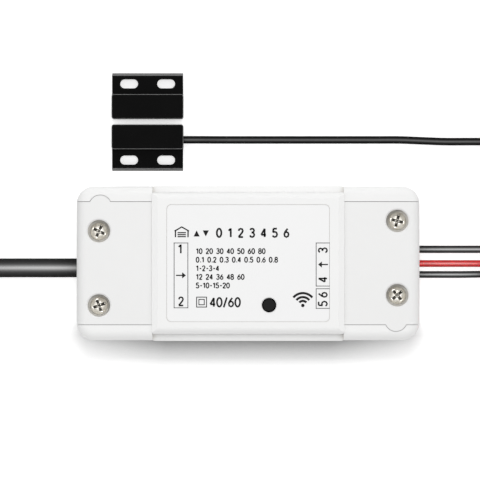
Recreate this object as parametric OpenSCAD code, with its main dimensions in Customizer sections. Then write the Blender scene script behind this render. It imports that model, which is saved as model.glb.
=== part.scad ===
// Inline garage door controller with its leads, plug and two-piece door sensor.
// The box lies on its back with the origin under its middle, +X towards the
// output end and +Z up through the button. The sensor and its magnet lie beside it.

/* [Housing] */
// Overall length of the box
body_l = 90; // [87:1:104]
// Width across the end sections
body_w = 40.4; // [39.4:0.2:46]
// Height of the middle cover's flat top
body_h = 24; // [23.4:0.2:28]
// Step from the middle cover down to the terminal covers
step_h = 1; // [0.8:0.1:2]
// Radius of the upright corners
corner_r = 4.5; // [3.5:0.1:6]
// Rounding of the upper outer edges
edge_r = 2.4; // [1.5:0.1:2.6]
// Rounding of the lower outer edges
foot_r = 1.2; // [0.6:0.1:1.8]
// Thickness of the bottom plate
floor_t = 2; // [1.6:0.1:2.6]
// Thickness of the base's end walls
end_wall_t = 2; // [1.9:0.1:2.4]
// Width of the base's rim on each side of a terminal cover
rim_w = 4.1; // [3.8:0.1:4.6]
// Height of the ledge that carries the middle cover
band_top = 17.5; // [16.5:0.1:18]
// How far the wider band of the base reaches past the middle cover
band_past = 1.2; // [0.6:0.1:2]
// How far the band stands out past the end sections
band_out = 0.2; // [0.1:0.1:0.8]
// Corner radius of the band
band_r = 2; // [1:0.1:3]
// Gap along the parting lines that show
seam = 0.12; // [0.1:0.02:0.3]
// Clearance between pieces that slot together
fit = 0.2; // [0.1:0.05:0.3]

/* [Middle cover] */
// How far its sides stand inside the end sections
saddle_in = 1.6; // [1.2:0.1:1.8]
// How far its ends lean in over the step
saddle_lean = 1.6; // [0.8:0.1:2]
// How far its ends reach over the terminal covers
lap = 0.3; // [0.2:0.05:0.5]
// Rounding along its long edges
saddle_r = 1.8; // [1.6:0.1:3]
// Thickness of its side and end walls
saddle_wall = 1.2; // [1:0.1:1.4]
// Thickness of its top
saddle_top = 1.8; // [1.4:0.1:2]
// Height of the locating lip inside it
lip_h = 3; // [2.4:0.1:3.4]
// Length of each snap ridge on the lip
snap_l = 12; // [8:1:18]
// How far a snap ridge stands out of the lip
snap_out = 0.35; // [0.25:0.05:0.45]
// Height of a snap ridge
snap_h = 0.8; // [0.6:0.1:1]
// Length of the face panel
label_l = 42.6; // [38:0.2:44]
// Width of the face panel
label_w = 30.6; // [28:0.2:30.8]
// Corner radius of the face panel
label_r = 1.2; // [0.5:0.1:2]
// Thickness of the face panel
label_t = 0.2; // [0.15:0.05:0.3]
// How deep the face panel lies below the cover's top
label_sink = 0.1; // [0.05:0.05:0.2]

/* [Terminal covers] */
// Length of each terminal cover, up to the middle cover's foot
cover_l = 20; // [19.8:0.1:20.8]
// Thickness of a cover's top plate
plate_t = 2; // [1.6:0.1:2.4]
// Thickness of a cover's end wall
cover_wall = 1.8; // [1.4:0.1:1.9]
// Distance of the screws from the box's end
screw_in = 5.85; // [5.5:0.05:6.2]
// Distance between the two screws of a cover
screw_pitch = 19.5; // [18.5:0.1:20.5]
// Sideways shift of each pair of screws
screw_shift = 1.35; // [0.8:0.05:1.8]
// Shank diameter of the cover screws
screw_d = 2.6; // [2.2:0.1:3]
// Shank length of the cover screws
screw_l = 10; // [8:0.5:11]
// Head diameter of the cover screws
head_d = 4.6; // [4.2:0.1:5]
// Head height of the cover screws
head_h = 1.7; // [1.4:0.1:2]
// Diameter of the screw recesses
recess_d = 5.9; // [5.5:0.1:6.3]
// Depth of the screw recesses
recess_h = 3.4; // [3:0.1:3.6]
// Chamfer round the mouth of a screw recess
recess_bevel = 0.35; // [0.2:0.05:0.5]
// Outside diameter of the cup under a recess
cup_d = 8.4; // [7.8:0.1:8.8]
// Floor thickness of the cup under a recess
cup_t = 1.5; // [1.2:0.1:1.8]
// Diameter of the base's screw posts
post_d = 5.4; // [5:0.1:5.8]
// Radius of the rounded tab on a cover's edge
tab_r = 2.9; // [2.4:0.1:3.2]
// How far the tab stands out of the cover's edge
tab_out = 1.75; // [1.2:0.05:1.9]
// Distance of the tab from the box's end
tab_in = 6.2; // [5.5:0.1:8]

/* [Cable outlets] */
// Height of the cable outlets above the bottom
cable_z = 9; // [8:0.1:9.4]
// Diameter of the mains lead
mains_d = 5; // [4.6:0.1:5.4]
// Sideways place of the mains lead
mains_y = -1.15; // [-1.4:0.05:-0.2]
// Diameter of the sensor cable
sensor_cable_d = 2; // [1.7:0.1:2.2]
// Sideways place of the sensor cable
sensor_cable_y = 3.75; // [3.5:0.05:4.3]
// Diameter of the switch leads
wire_d = 1.8; // [1.5:0.1:2]
// Sideways place of the red switch lead
red_y = 0; // [-0.2:0.05:0.4]
// Sideways place of the black switch lead
black_y = -2.9; // [-3.2:0.05:-2.6]
// Clearance round a cable in its outlet
grip = 0.15; // [0.1:0.05:0.3]
// Distance of the cable rib from the box's end
rib_in = 4.75; // [4.4:0.05:5]
// Thickness of the cable ribs
rib_t = 1.5; // [1:0.1:1.8]
// Width of the cable ribs
rib_w = 11; // [10:0.5:12]
// How far each cable rib stands to one side
rib_shift = 0.4; // [0.2:0.1:0.6]

/* [Circuit board] */
// Space between the board's end and the box's end
wire_bay = 11; // [11:0.1:12]
// Thickness of the board
board_t = 1.6; // [1:0.1:2]
// Height of the board above the bottom plate
board_lift = 4; // [3:0.1:4.4]
// Space between the board's edge and the base's wall
board_gap = 0.7; // [0.4:0.1:1]
// Distance of the board's posts from its ends
board_post_in = 4.5; // [4:0.1:5]
// Distance of the board's posts from its long edges
board_post_edge = 2.4; // [2.2:0.1:2.8]
// Diameter of the board's posts
board_post_d = 4.4; // [4:0.1:5]
// Shank diameter of the board's screws
board_screw_d = 2.2; // [1.8:0.1:2.6]
// Shank length of the board's screws
board_screw_l = 5; // [4:0.1:5.4]

/* [Terminals] */
// Depth of a terminal block along the box
term_d = 8; // [7:0.1:8.4]
// Height of a terminal block
term_h = 10; // [9:0.1:10.4]
// Distance between the two ways of the mains terminal
input_pitch = 5.08; // [4.8:0.01:5.2]
// Distance between the ways of the output terminals
output_pitch = 3.5; // [3.4:0.05:3.81]
// Diameter of a wire entry
entry_d = 2.6; // [2.4:0.05:2.8]
// Height of a wire entry above the board
entry_z = 3.2; // [3:0.1:3.6]
// Diameter of a terminal screw
term_screw_d = 2.2; // [1.8:0.1:2.4]
// Diameter of a mains core
core_d = 1.7; // [1.4:0.05:1.9]
// Diameter of a sensor core
sensor_core_d = 0.8; // [0.6:0.05:0.85]

/* [Electronics] */
// Width of the relay
relay_w = 10.1; // [9:0.1:10.4]
// Length of the relay
relay_l = 17.6; // [16:0.1:18]
// Height of the relay
relay_h = 12.3; // [10:0.1:13]
// Outer size of the transformer's core
core_w = 11; // [10:0.1:11.6]
// Thickness of the transformer's core
core_t = 4.8; // [4:0.1:5.4]
// Width of the core's legs
core_leg = 2; // [1.6:0.1:2.4]
// Width of the transformer's bobbin across the core
bobbin_w = 9.6; // [8.6:0.1:10]
// Diameter of the mains side's capacitor
cap_in_d = 8; // [6:0.1:8.4]
// Height of the mains side's capacitor
cap_in_h = 12; // [9:0.1:13]
// Diameter of the low-voltage capacitor
cap_out_d = 6.3; // [5:0.1:7]
// Height of the low-voltage capacitor
cap_out_h = 11; // [8:0.1:13]
// Diameter of the varistor
varistor_d = 7; // [5:0.1:7.6]
// Diameter of the choke
choke_d = 6; // [5:0.1:6.6]
// Height of the choke
choke_h = 8; // [6:0.1:10]
// Length of the radio module
radio_l = 18; // [16:0.1:19]
// Width of the radio module
radio_w = 11; // [10:0.1:11.4]

/* [Button] */
// Place of the button along the box
button_x = 5.5; // [4.5:0.1:6]
// Place of the button across the box
button_y = -11; // [-11.6:0.1:-10.6]
// Diameter of the button
button_d = 3.2; // [3:0.1:3.7]
// Gap between the button and its hole
button_gap = 0.3; // [0.25:0.05:0.45]
// How far the button stands out of the cover
button_rise = 0.3; // [0.2:0.05:0.6]
// Side of the switch's square body
switch_w = 6; // [5.8:0.1:6.2]
// Height of the switch's body
switch_h = 3.5; // [3.4:0.1:4]

/* [Door sensor] */
// Length of the sensor's housing and of the magnet's
sensor_l = 18.8; // [18:0.1:24]
// Width of the flange with the slots
flange_w = 5.7; // [5:0.1:6]
// Thickness of the flange
flange_t = 2; // [1.6:0.1:2.6]
// Width of the raised block
block_w = 6.5; // [6.2:0.1:7]
// Height of the raised block
block_h = 6; // [5.6:0.1:7]
// Gap between the sensor and the magnet with the door shut
sensor_gap = 1.5; // [0.8:0.1:4]
// Length of a mounting slot
slot_l = 4.7; // [4:0.1:5.4]
// Width of a mounting slot
slot_w = 2.4; // [2:0.1:2.8]
// Distance between the two slots
slot_pitch = 9.8; // [9:0.1:11]
// Wall thickness of the sensor's housing
sensor_wall = 1; // [0.8:0.1:1.1]
// How far the flange's outer edge slopes in
flange_bevel = 0.7; // [0.3:0.1:0.9]
// Place of the sensor's middle along the box
sensor_x = -26.6; // [-28:0.1:-25]
// Place of the sensor's near edge across the box
sensor_y = 24.6; // [24:0.1:26]

/* [Plug] */
// Width of the plug's body
plug_w = 35.3; // [32:0.1:35.3]
// Thickness of the plug's body
plug_t = 13.7; // [12:0.1:13.7]
// Length of the plug's body
plug_l = 24; // [22:0.5:27]
// Distance between the plug's pins
pin_pitch = 18.6; // [17.5:0.1:19]
// Diameter of the plug's pins
pin_d = 4; // [3.8:0.1:4.2]
// Length of the plug's pins
pin_l = 19; // [18:0.5:20]
// Length of the insulated part of a pin
sleeve_l = 10; // [8:0.5:11]

/* [Hidden] */

// Levels, lengths and widths of the housing
end_x = body_l / 2;
end_h = body_h - step_h;
plate_z = end_h - plate_t;
inner_l = body_l - 2 * end_wall_t;
cover_w = body_w - 2 * rim_w;
inner_w = cover_w + 2 * seam;
saddle_l = body_l - 2 * cover_l;
band_l = saddle_l + 2 * band_past;
band_w = body_w + 2 * band_out;
saddle_w = body_w - 2 * saddle_in;
skirt_y = saddle_w / 2 - saddle_wall;
lip_y = skirt_y - fit;
hollow_r = 1.5;

// Screws, posts and tabs
screw_x = end_x - screw_in;
post_top = end_h - recess_h - cup_t;
pilot_gap = 0.05;
pilot_spare = 1;
tab_x = end_x - tab_in;
tab_y = cover_w / 2 + tab_out - tab_r;
cover_screw_places = [
    for (s = [-1, 1]) for (k = [-1, 1]) [s * screw_x, k * screw_pitch / 2 + s * screw_shift]
];
screw_turns = [20, 65, 40, 75];

// Board and what stands on it
board_l = body_l - 2 * wire_bay;
board_w = inner_w - 2 * board_gap;
board_z = floor_t + board_lift;
board_top = board_z + board_t;
board_post = [board_l / 2 - board_post_in, board_w / 2 - board_post_edge];
board_screw_head = 1.4;
part_gap = 0.9;
term_face = board_l / 2 - 0.5;
output_ways = [for (k = [-3, -1, 1, 3]) k * output_pitch / 2];
input_ways = [for (k = [-1, 1]) mains_y + k * input_pitch / 2];
entry_depth = 5;
entry_reach = 3;
term_screw_sink = 2.5;
term_screw_h = 2;
jacket_in = 7;
jacket_x = end_x - jacket_in;
core_bend = 2.8;

// The pieces under the middle cover take their share of the board's length. Their listed
// sizes are for a board of listed_l.
listed_l = 68;
share = board_l / listed_l;
relay_b = relay_w * share;
core_b = core_w * share;
radio_b = radio_l * share;
cap_in_b = cap_in_d * share;
cap_out_b = cap_out_d * share;
choke_b = choke_d * share;
varistor_t = 3.4 * share;
fuse_l = 7 * share;
fuse_d = 3;
leg_d = 0.6;
leg_out = 1.2;
antenna_l = 6 * share;
radio_t = 0.8;
shield_in = 0.7;
shield_h = 2;
rectifier_w = 4.4;
part_end = saddle_l / 2 - saddle_wall - part_gap;
part_edge = board_w / 2 - part_gap;
relay_x = part_end - relay_b;
relay_y = -part_edge;
radio_x = part_end - radio_b;
radio_y = relay_y + relay_l + part_gap;
core_in = 6 * share;
core_x = core_in - part_end;
choke_x = button_x - switch_w / 2 - part_gap - choke_b / 2;
choke_y = choke_b / 2 - part_edge;
varistor_x = varistor_t / 2 - part_end;
cap_in_x = varistor_x + varistor_t / 2 + part_gap + cap_in_b / 2;
cap_out_x = cap_in_x + cap_in_b / 2 + part_gap + cap_out_b / 2;
fuse_y = fuse_d - part_edge;
rectifier_y = -(bobbin_w + rectifier_w) / 2 - part_gap;

// Button and the switch under it
switch_floor = 0.9;
switch_roof = 0.7;
switch_bore = 5.2;
dome_d = 4.8;
dome_h = 0.85;
dome_t = 0.15;
flange_d = 4.8;
flange_h = 0.7;
flange_play = 0.1;
nub_d = 2;
nub_h = 0.15;
running = 0.1;
guide_wall = 1.2;
guide_h = 4;
button_hole = button_d + 2 * button_gap;

// Door sensor
cavity_l = sensor_l - 2 * sensor_wall;
cavity_w = block_w - 2 * sensor_wall;
cavity_h = block_h - sensor_wall;
pot_sink = 0.3;
flange_foot = 0.3;
block_over = 0.1;
reed_d = 2;
reed_bore = 1.4;
reed_l = 12;
blade_end = 0.4;
blade_w = 0.9;
blade_t = 0.25;
blade_lap = 1.6;
blade_l = reed_l / 2 - blade_end + blade_lap / 2;
blade_gap = 0.1;
magnet_l = 13;
magnet_w = 3.6;
magnet_h = 3.6;
reed_z = sensor_wall + cavity_h / 2 - pot_sink;
lead_x = sensor_x + cavity_l / 2;
lead_off = 0.75;
lead_y = sensor_y + flange_w + block_w / 2 - lead_off;
lead_z = 2.6;
magnet_y = sensor_y + 2 * (flange_w + block_w) + sensor_gap;

// Coils of the leads: the turns lie a little over one diameter apart
coil_gap = 0.55;
coil_rings = 24;
tie_t = 0.5;
tie_w = 3;
tie_gap = 0.15;
lift = tie_t + tie_gap;
mains_pitch = mains_d + coil_gap;
mains_turns = 2.25;
mains_total = 2 * mains_turns + 1;
mains_centre = [-end_x - 80, 21];
mains_r = 34;
mains_z = mains_d / 2 + lift;
sensor_pitch = sensor_cable_d + coil_gap;
sensor_turns = 3.5;
sensor_layers = 4;
sensor_total = sensor_layers * sensor_turns + (sensor_layers - 1) / 2;
sensor_r = 14.3;
sensor_centre = [end_x + 35, sensor_cable_y + sensor_r];
sensor_z = sensor_cable_d / 2 + lift;
wire_pitch = wire_d + coil_gap;
wire_turns = 1.5;
wire_total = 2 * wire_turns + 0.5;
wire_r = 14.6;
wire_centre = [end_x + 34.5, red_y - wire_r];
wire_z = wire_d / 2 + lift;

// Plug, which lies on the coil of the mains lead
plug_x = -end_x - 52;
plug_y = 13;
plug_z = mains_z + mains_pitch + mains_d / 2 + tie_gap + plug_t / 2;
plug_rear_w = 15;
plug_taper_l = 12;
plug_bevel = 4;
relief_l = 20;
relief_d = 9;
relief_tip_d = 6.4;
sleeve_d = 3.4;
pin_core_d = 2.6;
sleeve_play = 0.05;
tip_l = 7;
tip_d = 1;

// Routes of the leads where they run free, each from the box or sensor outwards. Points are
// given by their distance from a place along the box, counted to one side.
function past(x, side, p) = [for (q = p) [x + side * q.x, q.y, q.z]];
function toward(a, b, t) = a + t * (b - a);
mains_route = let (y = mains_centre.y - mains_r) past(-end_x, -1, [
    [-jacket_in, mains_y, cable_z], [-3, mains_y, cable_z], [1, mains_y, cable_z], [5, mains_y, cable_z],
    [11, mains_y, toward(cable_z, mains_z, 0.02)], [17, mains_y, toward(cable_z, mains_z, 0.08)],
    [23, toward(mains_y, y, 0.01), toward(cable_z, mains_z, 0.2)],
    [30, toward(mains_y, y, 0.1), toward(cable_z, mains_z, 0.42)],
    [38, toward(mains_y, y, 0.28), toward(cable_z, mains_z, 0.7)],
    [47, toward(mains_y, y, 0.53), toward(cable_z, mains_z, 0.92)],
    [56, toward(mains_y, y, 0.775), toward(cable_z, mains_z, 0.995)],
    [64, toward(mains_y, y, 0.935), mains_z], [70, toward(mains_y, y, 0.995), mains_z], [75, y, mains_z]
]);
tail_route = let (y = mains_centre.y + mains_r, z = mains_z + 2 * mains_pitch) past(-end_x, -1, [
    [75, y, z], [72, y, z], [64.3, 53.5, 15], [57.9, 49.1, 16.4], [53.5, 42.7, 17.7],
    [52, 35.5, plug_z], [52, plug_y + relief_l, plug_z]
]);
sensor_lay = sensor_cable_d / 2;
sensor_route = concat(
    past(lead_x, 1, [
        [0, lead_y, lead_z], [2.1, lead_y, lead_z], [5.1, lead_y, 2.4], [8.1, lead_y, 1.9],
        [11.1, lead_y, 1.4], [14.1, lead_y, 1.1], [18.1, lead_y, sensor_lay],
        [23.1, lead_y, sensor_lay], [28.1, lead_y, sensor_lay], [34.1, lead_y, sensor_lay],
        [40.1, lead_y, sensor_lay], [46.1, lead_y, sensor_lay], [52.1, lead_y, sensor_lay]
    ]),
    let (y = sensor_centre.y + sensor_r) past(sensor_centre.x, -1, [
        [40, lead_y, sensor_lay], [34, toward(lead_y, y, 0.5), sensor_lay], [28, y, sensor_lay],
        [22, y, sensor_lay], [16, y, 1.05], [10, y, 1.4], [5, y, sensor_z], [2, y, sensor_z]
    ])
);
return_route = let (y = sensor_cable_y, z = sensor_z + (sensor_layers - 1) * sensor_pitch)
    past(end_x, 1, [
        [-jacket_in, y, cable_z], [-3, y, cable_z], [1, y, cable_z], [5, y, cable_z],
        [11, y, toward(cable_z, z, 0.2)], [18, y, toward(cable_z, z, 0.5)],
        [25, y, toward(cable_z, z, 0.8)], [31, y, z], [33, y, z]
    ]);
// Share of a switch lead's fall and of its turn sideways, by its distance from the box's end
wire_fall = [
    [6, 0, 0], [11, 0.02, 0], [15, 0.1, 0.1], [18, 0.24, 0.25], [21, 0.44, 0.5], [24, 0.66, 0.75],
    [27, 0.86, 0.95], [30, 0.98, 1], [32.7, 1, 1]
];
function wire_route(way, from, to, start) = concat(
    past(term_face, -1, [
        [entry_reach, way, board_top + entry_z], [0, way, board_top + entry_z]
    ]),
    past(end_x, 1, concat(
        [
            [start, toward(way, from, 0.3), 10.2], [start + 1.8, toward(way, from, 0.82), 9.3],
            [-6, from, cable_z], [-3, from, cable_z], [1, from, cable_z]
        ],
        [for (f = wire_fall) [f[0], toward(from, to, f[2]), toward(cable_z, wire_z, f[1])]]
    ))
);
red_route = wire_route(output_ways[1], red_y, red_y, -9.5);
black_route = wire_route(output_ways[0], black_y, red_y - wire_pitch, -9.7);

// Outlines

// Rectangle with round corners, centred
module plan(l, w, r) {
    square([l, w - 2 * r], center = true);
    square([l - 2 * r, w], center = true);
    for (x = [-1, 1], y = [-1, 1])
        translate([x * (l / 2 - r), y * (w / 2 - r)]) circle(r, $fn = 48);
}

// What a rounding of radius r takes off a square corner at the origin's upper right
module corner_cut(r) {
    translate([-r, -r]) difference() {
        square(r + 1);
        circle(r, $fn = 48);
    }
}

// Upright strip whose outer edge is rounded at the top and at the bottom
module edge_profile(reach, h, top, low) {
    difference() {
        square([reach, h]);
        translate([reach, h]) corner_cut(top);
        translate([reach, 0]) mirror([0, 1]) corner_cut(low);
    }
}

// Block with round upright corners and rounded upper and lower edges
module rounded_block(l, w, h, corner, top, low) {
    half = [l / 2 - corner, w / 2 - corner];
    translate([-half.x, -half.y, 0]) cube([2 * half.x, 2 * half.y, h]);
    for (a = [0, 180]) rotate(a) {
        translate([-half.x, half.y, 0]) rotate([90, 0, 90])
            linear_extrude(2 * half.x) edge_profile(corner, h, top, low);
        translate([half.x, half.y, 0]) rotate([90, 0, 0])
            linear_extrude(2 * half.y) edge_profile(corner, h, top, low);
        translate([half.x, half.y, 0])
            rotate_extrude(angle = 90, $fn = 64) edge_profile(corner, h, top, low);
        translate([-half.x, half.y, 0]) rotate(90)
            rotate_extrude(angle = 90, $fn = 64) edge_profile(corner, h, top, low);
    }
}

// Cylinder lying along +X from the given point
module rod(from, d, l) {
    translate(from) rotate([0, 90, 0]) cylinder(d = d, h = l, $fn = 48);
}

// Screw with a rounded pan head and a cross recess, seated at z = 0
module pan_screw(d, l, head, h) {
    rim = 0.45 * h;
    crown = h - rim;
    round_r = (head * head / 4 + crown * crown) / (2 * crown);
    slot = [0.64 * head, 0.15 * head, 0.65 * h];
    difference() {
        union() {
            rotate_extrude($fn = 48) intersection() {
                square([head / 2, h]);
                translate([0, h - round_r]) circle(round_r, $fn = 96);
            }
            translate([0, 0, -l + d / 2]) cylinder(d = d, h = l - d / 2, $fn = 32);
            translate([0, 0, -l]) cylinder(d1 = d / 3, d2 = d, h = d / 2, $fn = 32);
        }
        for (a = [0, 90]) rotate(a) translate([-slot.x / 2, -slot.y / 2, h - slot.z])
            cube([slot.x, slot.y, h]);
        translate([0, 0, h - 0.8 * h]) cylinder(d1 = 0.1 * head, d2 = 0.32 * head, h = 0.9 * h, $fn = 24);
    }
}

// Tubes

function unit(v) = v / norm(v);

// Direction of a route at its point i
function heading(p, i) = unit(p[min(i + 1, len(p) - 1)] - p[max(i - 1, 0)]);

// Ring of points round a route at its point i
function ring(p, i, r, sides) =
    let (t = heading(p, i), across = unit(cross(t, [0, 0, 1])), up = cross(across, t))
    [for (k = [0 : sides - 1]) p[i] + r * (cos(360 * k / sides) * across + sin(360 * k / sides) * up)];

// One unbroken tube along a route
module tube(p, d, sides) {
    last = len(p) - 1;
    points = [for (i = [0 : last]) each ring(p, i, d / 2, sides)];
    next = function (k) (k + 1) % sides;
    walls = [
        for (i = [0 : last - 1], k = [0 : sides - 1])
            each [
                [i * sides + k, i * sides + next(k), (i + 1) * sides + next(k)],
                [i * sides + k, (i + 1) * sides + next(k), (i + 1) * sides + k]
            ]
    ];
    caps = [
        for (k = [1 : sides - 2])
            each [[0, k + 1, k], [last * sides, last * sides + k, last * sides + k + 1]]
    ];
    polyhedron(points, concat(walls, caps), convexity = 8);
}

// Place in a coil after t turns. The spiral runs in and out at a steady rate and climbs
// a layer in the half turn where it reverses.
function spiral(t, turns) =
    let (leg = turns + 0.5, u = (t + 0.25) % (2 * leg)) (u < leg ? u : 2 * leg - u) - 0.25;
function ease(x) = let (c = max(0, min(1, x))) c * c * (3 - 2 * c);
function layer(t, turns, k = 0) =
    t <= (k + 1) * turns + k / 2 ? k : k + ease(2 * (t - (k + 1) * turns - k / 2)) >= k + 1
    ? layer(t, turns, k + 1) : k + ease(2 * (t - (k + 1) * turns - k / 2));
function coil_point(t, c, r, pitch, rise, turns, start, z, over = 0) =
    let (a = start - 360 * t, reach = r + over - pitch * spiral(t, turns))
    [c.x + reach * cos(a), c.y + reach * sin(a), z + rise * layer(t, turns)];

// Route of a coil wound clockwise, with a straight end of one diameter at each side
function coil_route(total, d, c, r, pitch, rise, turns, start, z, over = 0) =
    let (
        steps = round(total * coil_rings),
        p = [for (i = [0 : steps])
            coil_point(total * i / steps, c, r, pitch, rise, turns, start, z, over)],
        a = start - 360 * total
    )
    concat(
        [p[0] - d * [sin(start), -cos(start), 0]], p, [p[steps] + d * [sin(a), -cos(a), 0]]
    );

// Least gap between turns of a coil, on its points
function coil_clear(p, d) =
    let (skip = coil_rings / 4)
    min([for (i = [0 : len(p) - 1 - skip]) for (j = [i + skip : len(p) - 1]) norm(p[i] - p[j])]) - d;

module coil(name, p, d) {
    echo(str(name, " least gap ", coil_clear(p, d), " mm"));
    tube(p, d, 6);
}

mains_coil_route =
    coil_route(mains_total, mains_d, mains_centre, mains_r, mains_pitch, mains_pitch,
        mains_turns, -90, mains_z);
sensor_coil_route =
    coil_route(sensor_total, sensor_cable_d, sensor_centre, sensor_r, sensor_pitch,
        sensor_pitch, sensor_turns, 90, sensor_z);
red_coil_route =
    coil_route(wire_total, wire_d, wire_centre, wire_r, 2 * wire_pitch, wire_pitch,
        wire_turns, 90, wire_z);
black_coil_route =
    coil_route(wire_total, wire_d, wire_centre, wire_r, 2 * wire_pitch, wire_pitch,
        wire_turns, 90, wire_z, -wire_pitch);

// Distance out and height of a coil's points that lie on one side of its middle
function crossing(p, c, angle) = [
    for (q = p)
        let (v = [q.x - c.x, q.y - c.y], out = v * [cos(angle), sin(angle)],
            side = v * [-sin(angle), cos(angle)])
        if (out > 0 && abs(side) < tie_w) [out, q.z]
];

// Band round a coil's turns at one place
module tie(p, d, centre, angle) {
    cut = crossing(p, centre, angle);
    low = min([for (q = cut) q.x]) - d / 2 - tie_gap;
    high = max([for (q = cut) q.x]) + d / 2 + tie_gap;
    window = [high - low, max([for (q = cut) q.y]) + d / 2 + tie_gap - tie_t];
    translate([centre.x, centre.y, 0]) rotate(angle) translate([(low + high) / 2, 0, 0])
        rotate([90, 0, 0]) linear_extrude(tie_w, center = true)
            translate([0, tie_t + window.y / 2]) difference() {
                plan(window.x + 2 * tie_t, window.y + 2 * tie_t, 1);
                plan(window.x, window.y, 0.5);
            }
}

// Housing

// Outline of the whole end sections, which the base and the terminal covers share
module envelope() {
    rounded_block(body_l, body_w, end_h, corner_r, edge_r, foot_r);
}

// Passages for the cables through the walls and ribs of one end
module input_bores() {
    rod([-end_x - 1, mains_y, cable_z], mains_d + 2 * grip, rib_in + rib_t + 2);
}

module output_bores() {
    start = end_x - rib_in - rib_t - 1;
    for (c = [[sensor_cable_y, sensor_cable_d], [red_y, wire_d], [black_y, wire_d]])
        rod([start, c[0], cable_z], c[1] + 2 * grip, rib_in + rib_t + 2);
}

module base_shell() color("white") {
    difference() {
        union() {
            envelope();
            translate([0, 0, foot_r]) linear_extrude(band_top - foot_r) plan(band_l, band_w, band_r);
        }
        translate([0, 0, floor_t]) linear_extrude(end_h) plan(inner_l, inner_w, hollow_r);
        translate([-saddle_l / 2 - seam, -band_w, band_top])
            cube([saddle_l + 2 * seam, 2 * band_w, end_h]);
        for (s = [-1, 1]) translate([s * end_x, 0, cable_z + end_h / 2])
            cube([2 * end_wall_t + 2 * hollow_r, inner_w, end_h], center = true);
        for (a = [0, 180]) rotate(a) translate([tab_x, -tab_y, plate_z - seam])
            cylinder(r = tab_r + seam, h = end_h, $fn = 64);
        input_bores();
        output_bores();
    }
    lips();
    cover_posts();
    board_posts();
    cable_ribs(floor_t, cable_z);
}

// Lips inside the middle cover's skirts, each with a snap ridge
module lips() {
    l = saddle_l - 2 * saddle_wall - 2 * fit;
    for (s = [0, 180]) rotate(s) {
        translate([-l / 2, inner_w / 2, band_top]) cube([l, lip_y - inner_w / 2, lip_h]);
        translate([-snap_l / 2, lip_y, band_top + lip_h - 2 * snap_h]) cube([snap_l, snap_out, snap_h]);
    }
}

module cover_posts() {
    for (p = cover_screw_places) translate([p.x, p.y, floor_t]) difference() {
        cylinder(d = post_d, h = post_top - floor_t, $fn = 48);
        translate([0, 0, post_top + cup_t - screw_l - pilot_spare - floor_t])
            cylinder(d = screw_d + 2 * pilot_gap, h = screw_l + pilot_spare, $fn = 32);
    }
}

module board_posts() {
    for (x = [-1, 1], y = [-1, 1]) translate([x * board_post.x, y * board_post.y, floor_t])
        difference() {
            cylinder(d = board_post_d, h = board_lift, $fn = 48);
            if (x == y) cylinder(d = board_screw_d + 2 * pilot_gap, h = 2 * board_lift, $fn = 32);
        }
}

// Ribs that carry the cables, from one height to another, with their passages
module cable_ribs(low, high) {
    difference() {
        for (s = [-1, 1])
            translate([s * (end_x - rib_in) - rib_t / 2, s * rib_shift - rib_w / 2, low])
                cube([rib_t, rib_w, high - low]);
        input_bores();
        output_bores();
    }
}

// Cross-section of the middle cover, rounded along its upper edges
module saddle_section(w, low, high, r) {
    difference() {
        translate([-w / 2, low]) square([w, high - low]);
        for (m = [0, 1]) mirror([m, 0]) translate([w / 2, high]) corner_cut(r);
    }
}

module top_cover() color("white") difference() {
    union() {
        difference() {
            rotate([90, 0, 90]) linear_extrude(saddle_l + 2 * lap, center = true)
                saddle_section(saddle_w, band_top + seam, body_h, saddle_r);
            rotate([90, 0, 90]) linear_extrude(saddle_l - 2 * saddle_wall, center = true)
                saddle_section(saddle_w - 2 * saddle_wall, band_top, body_h - saddle_top,
                    saddle_r - saddle_wall);
            for (a = [0, 180]) rotate(a) rotate([90, 0, 0])
                linear_extrude(2 * saddle_w, center = true) end_cut();
            for (a = [0, 180]) rotate(a) snap_groove();
            translate([0, 0, body_h - label_t - label_sink])
                linear_extrude(2) plan(label_l + fit, label_w + fit, label_r);
        }
        translate([button_x, button_y, body_h - saddle_top - guide_h])
            cylinder(d = button_hole + 2 * guide_wall, h = guide_h + saddle_top / 4, $fn = 48);
    }
    translate([button_x, button_y, board_top]) cylinder(d = button_hole, h = body_h, $fn = 48);
}

// What is taken off the middle cover's end, in side view: the end leans in from a thin lip
// that covers the terminal cover's edge
module end_cut() {
    wall = saddle_l / 2;
    foot = wall + lap;
    low = end_h + seam;
    edge = low + lap;
    slope = saddle_lean / (body_h - edge);
    polygon([
        [wall, 0], [foot + 1, 0], [foot + 1, body_h + 1], [foot - saddle_lean - slope, body_h + 1],
        [foot, edge], [foot, low], [wall, low]
    ]);
}

// Groove in a skirt that takes the base's snap ridge
module snap_groove() {
    translate([-snap_l / 2 - fit, lip_y, band_top + lip_h - 2 * snap_h - fit])
        cube([snap_l + 2 * fit, snap_out + fit, snap_h + 2 * fit]);
}

module face_label() color("whitesmoke")
    translate([0, 0, body_h - label_t - label_sink]) linear_extrude(label_t) difference() {
        plan(label_l, label_w, label_r);
        translate([button_x, button_y]) circle(d = button_hole + 2 * fit, $fn = 48);
    }

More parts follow.
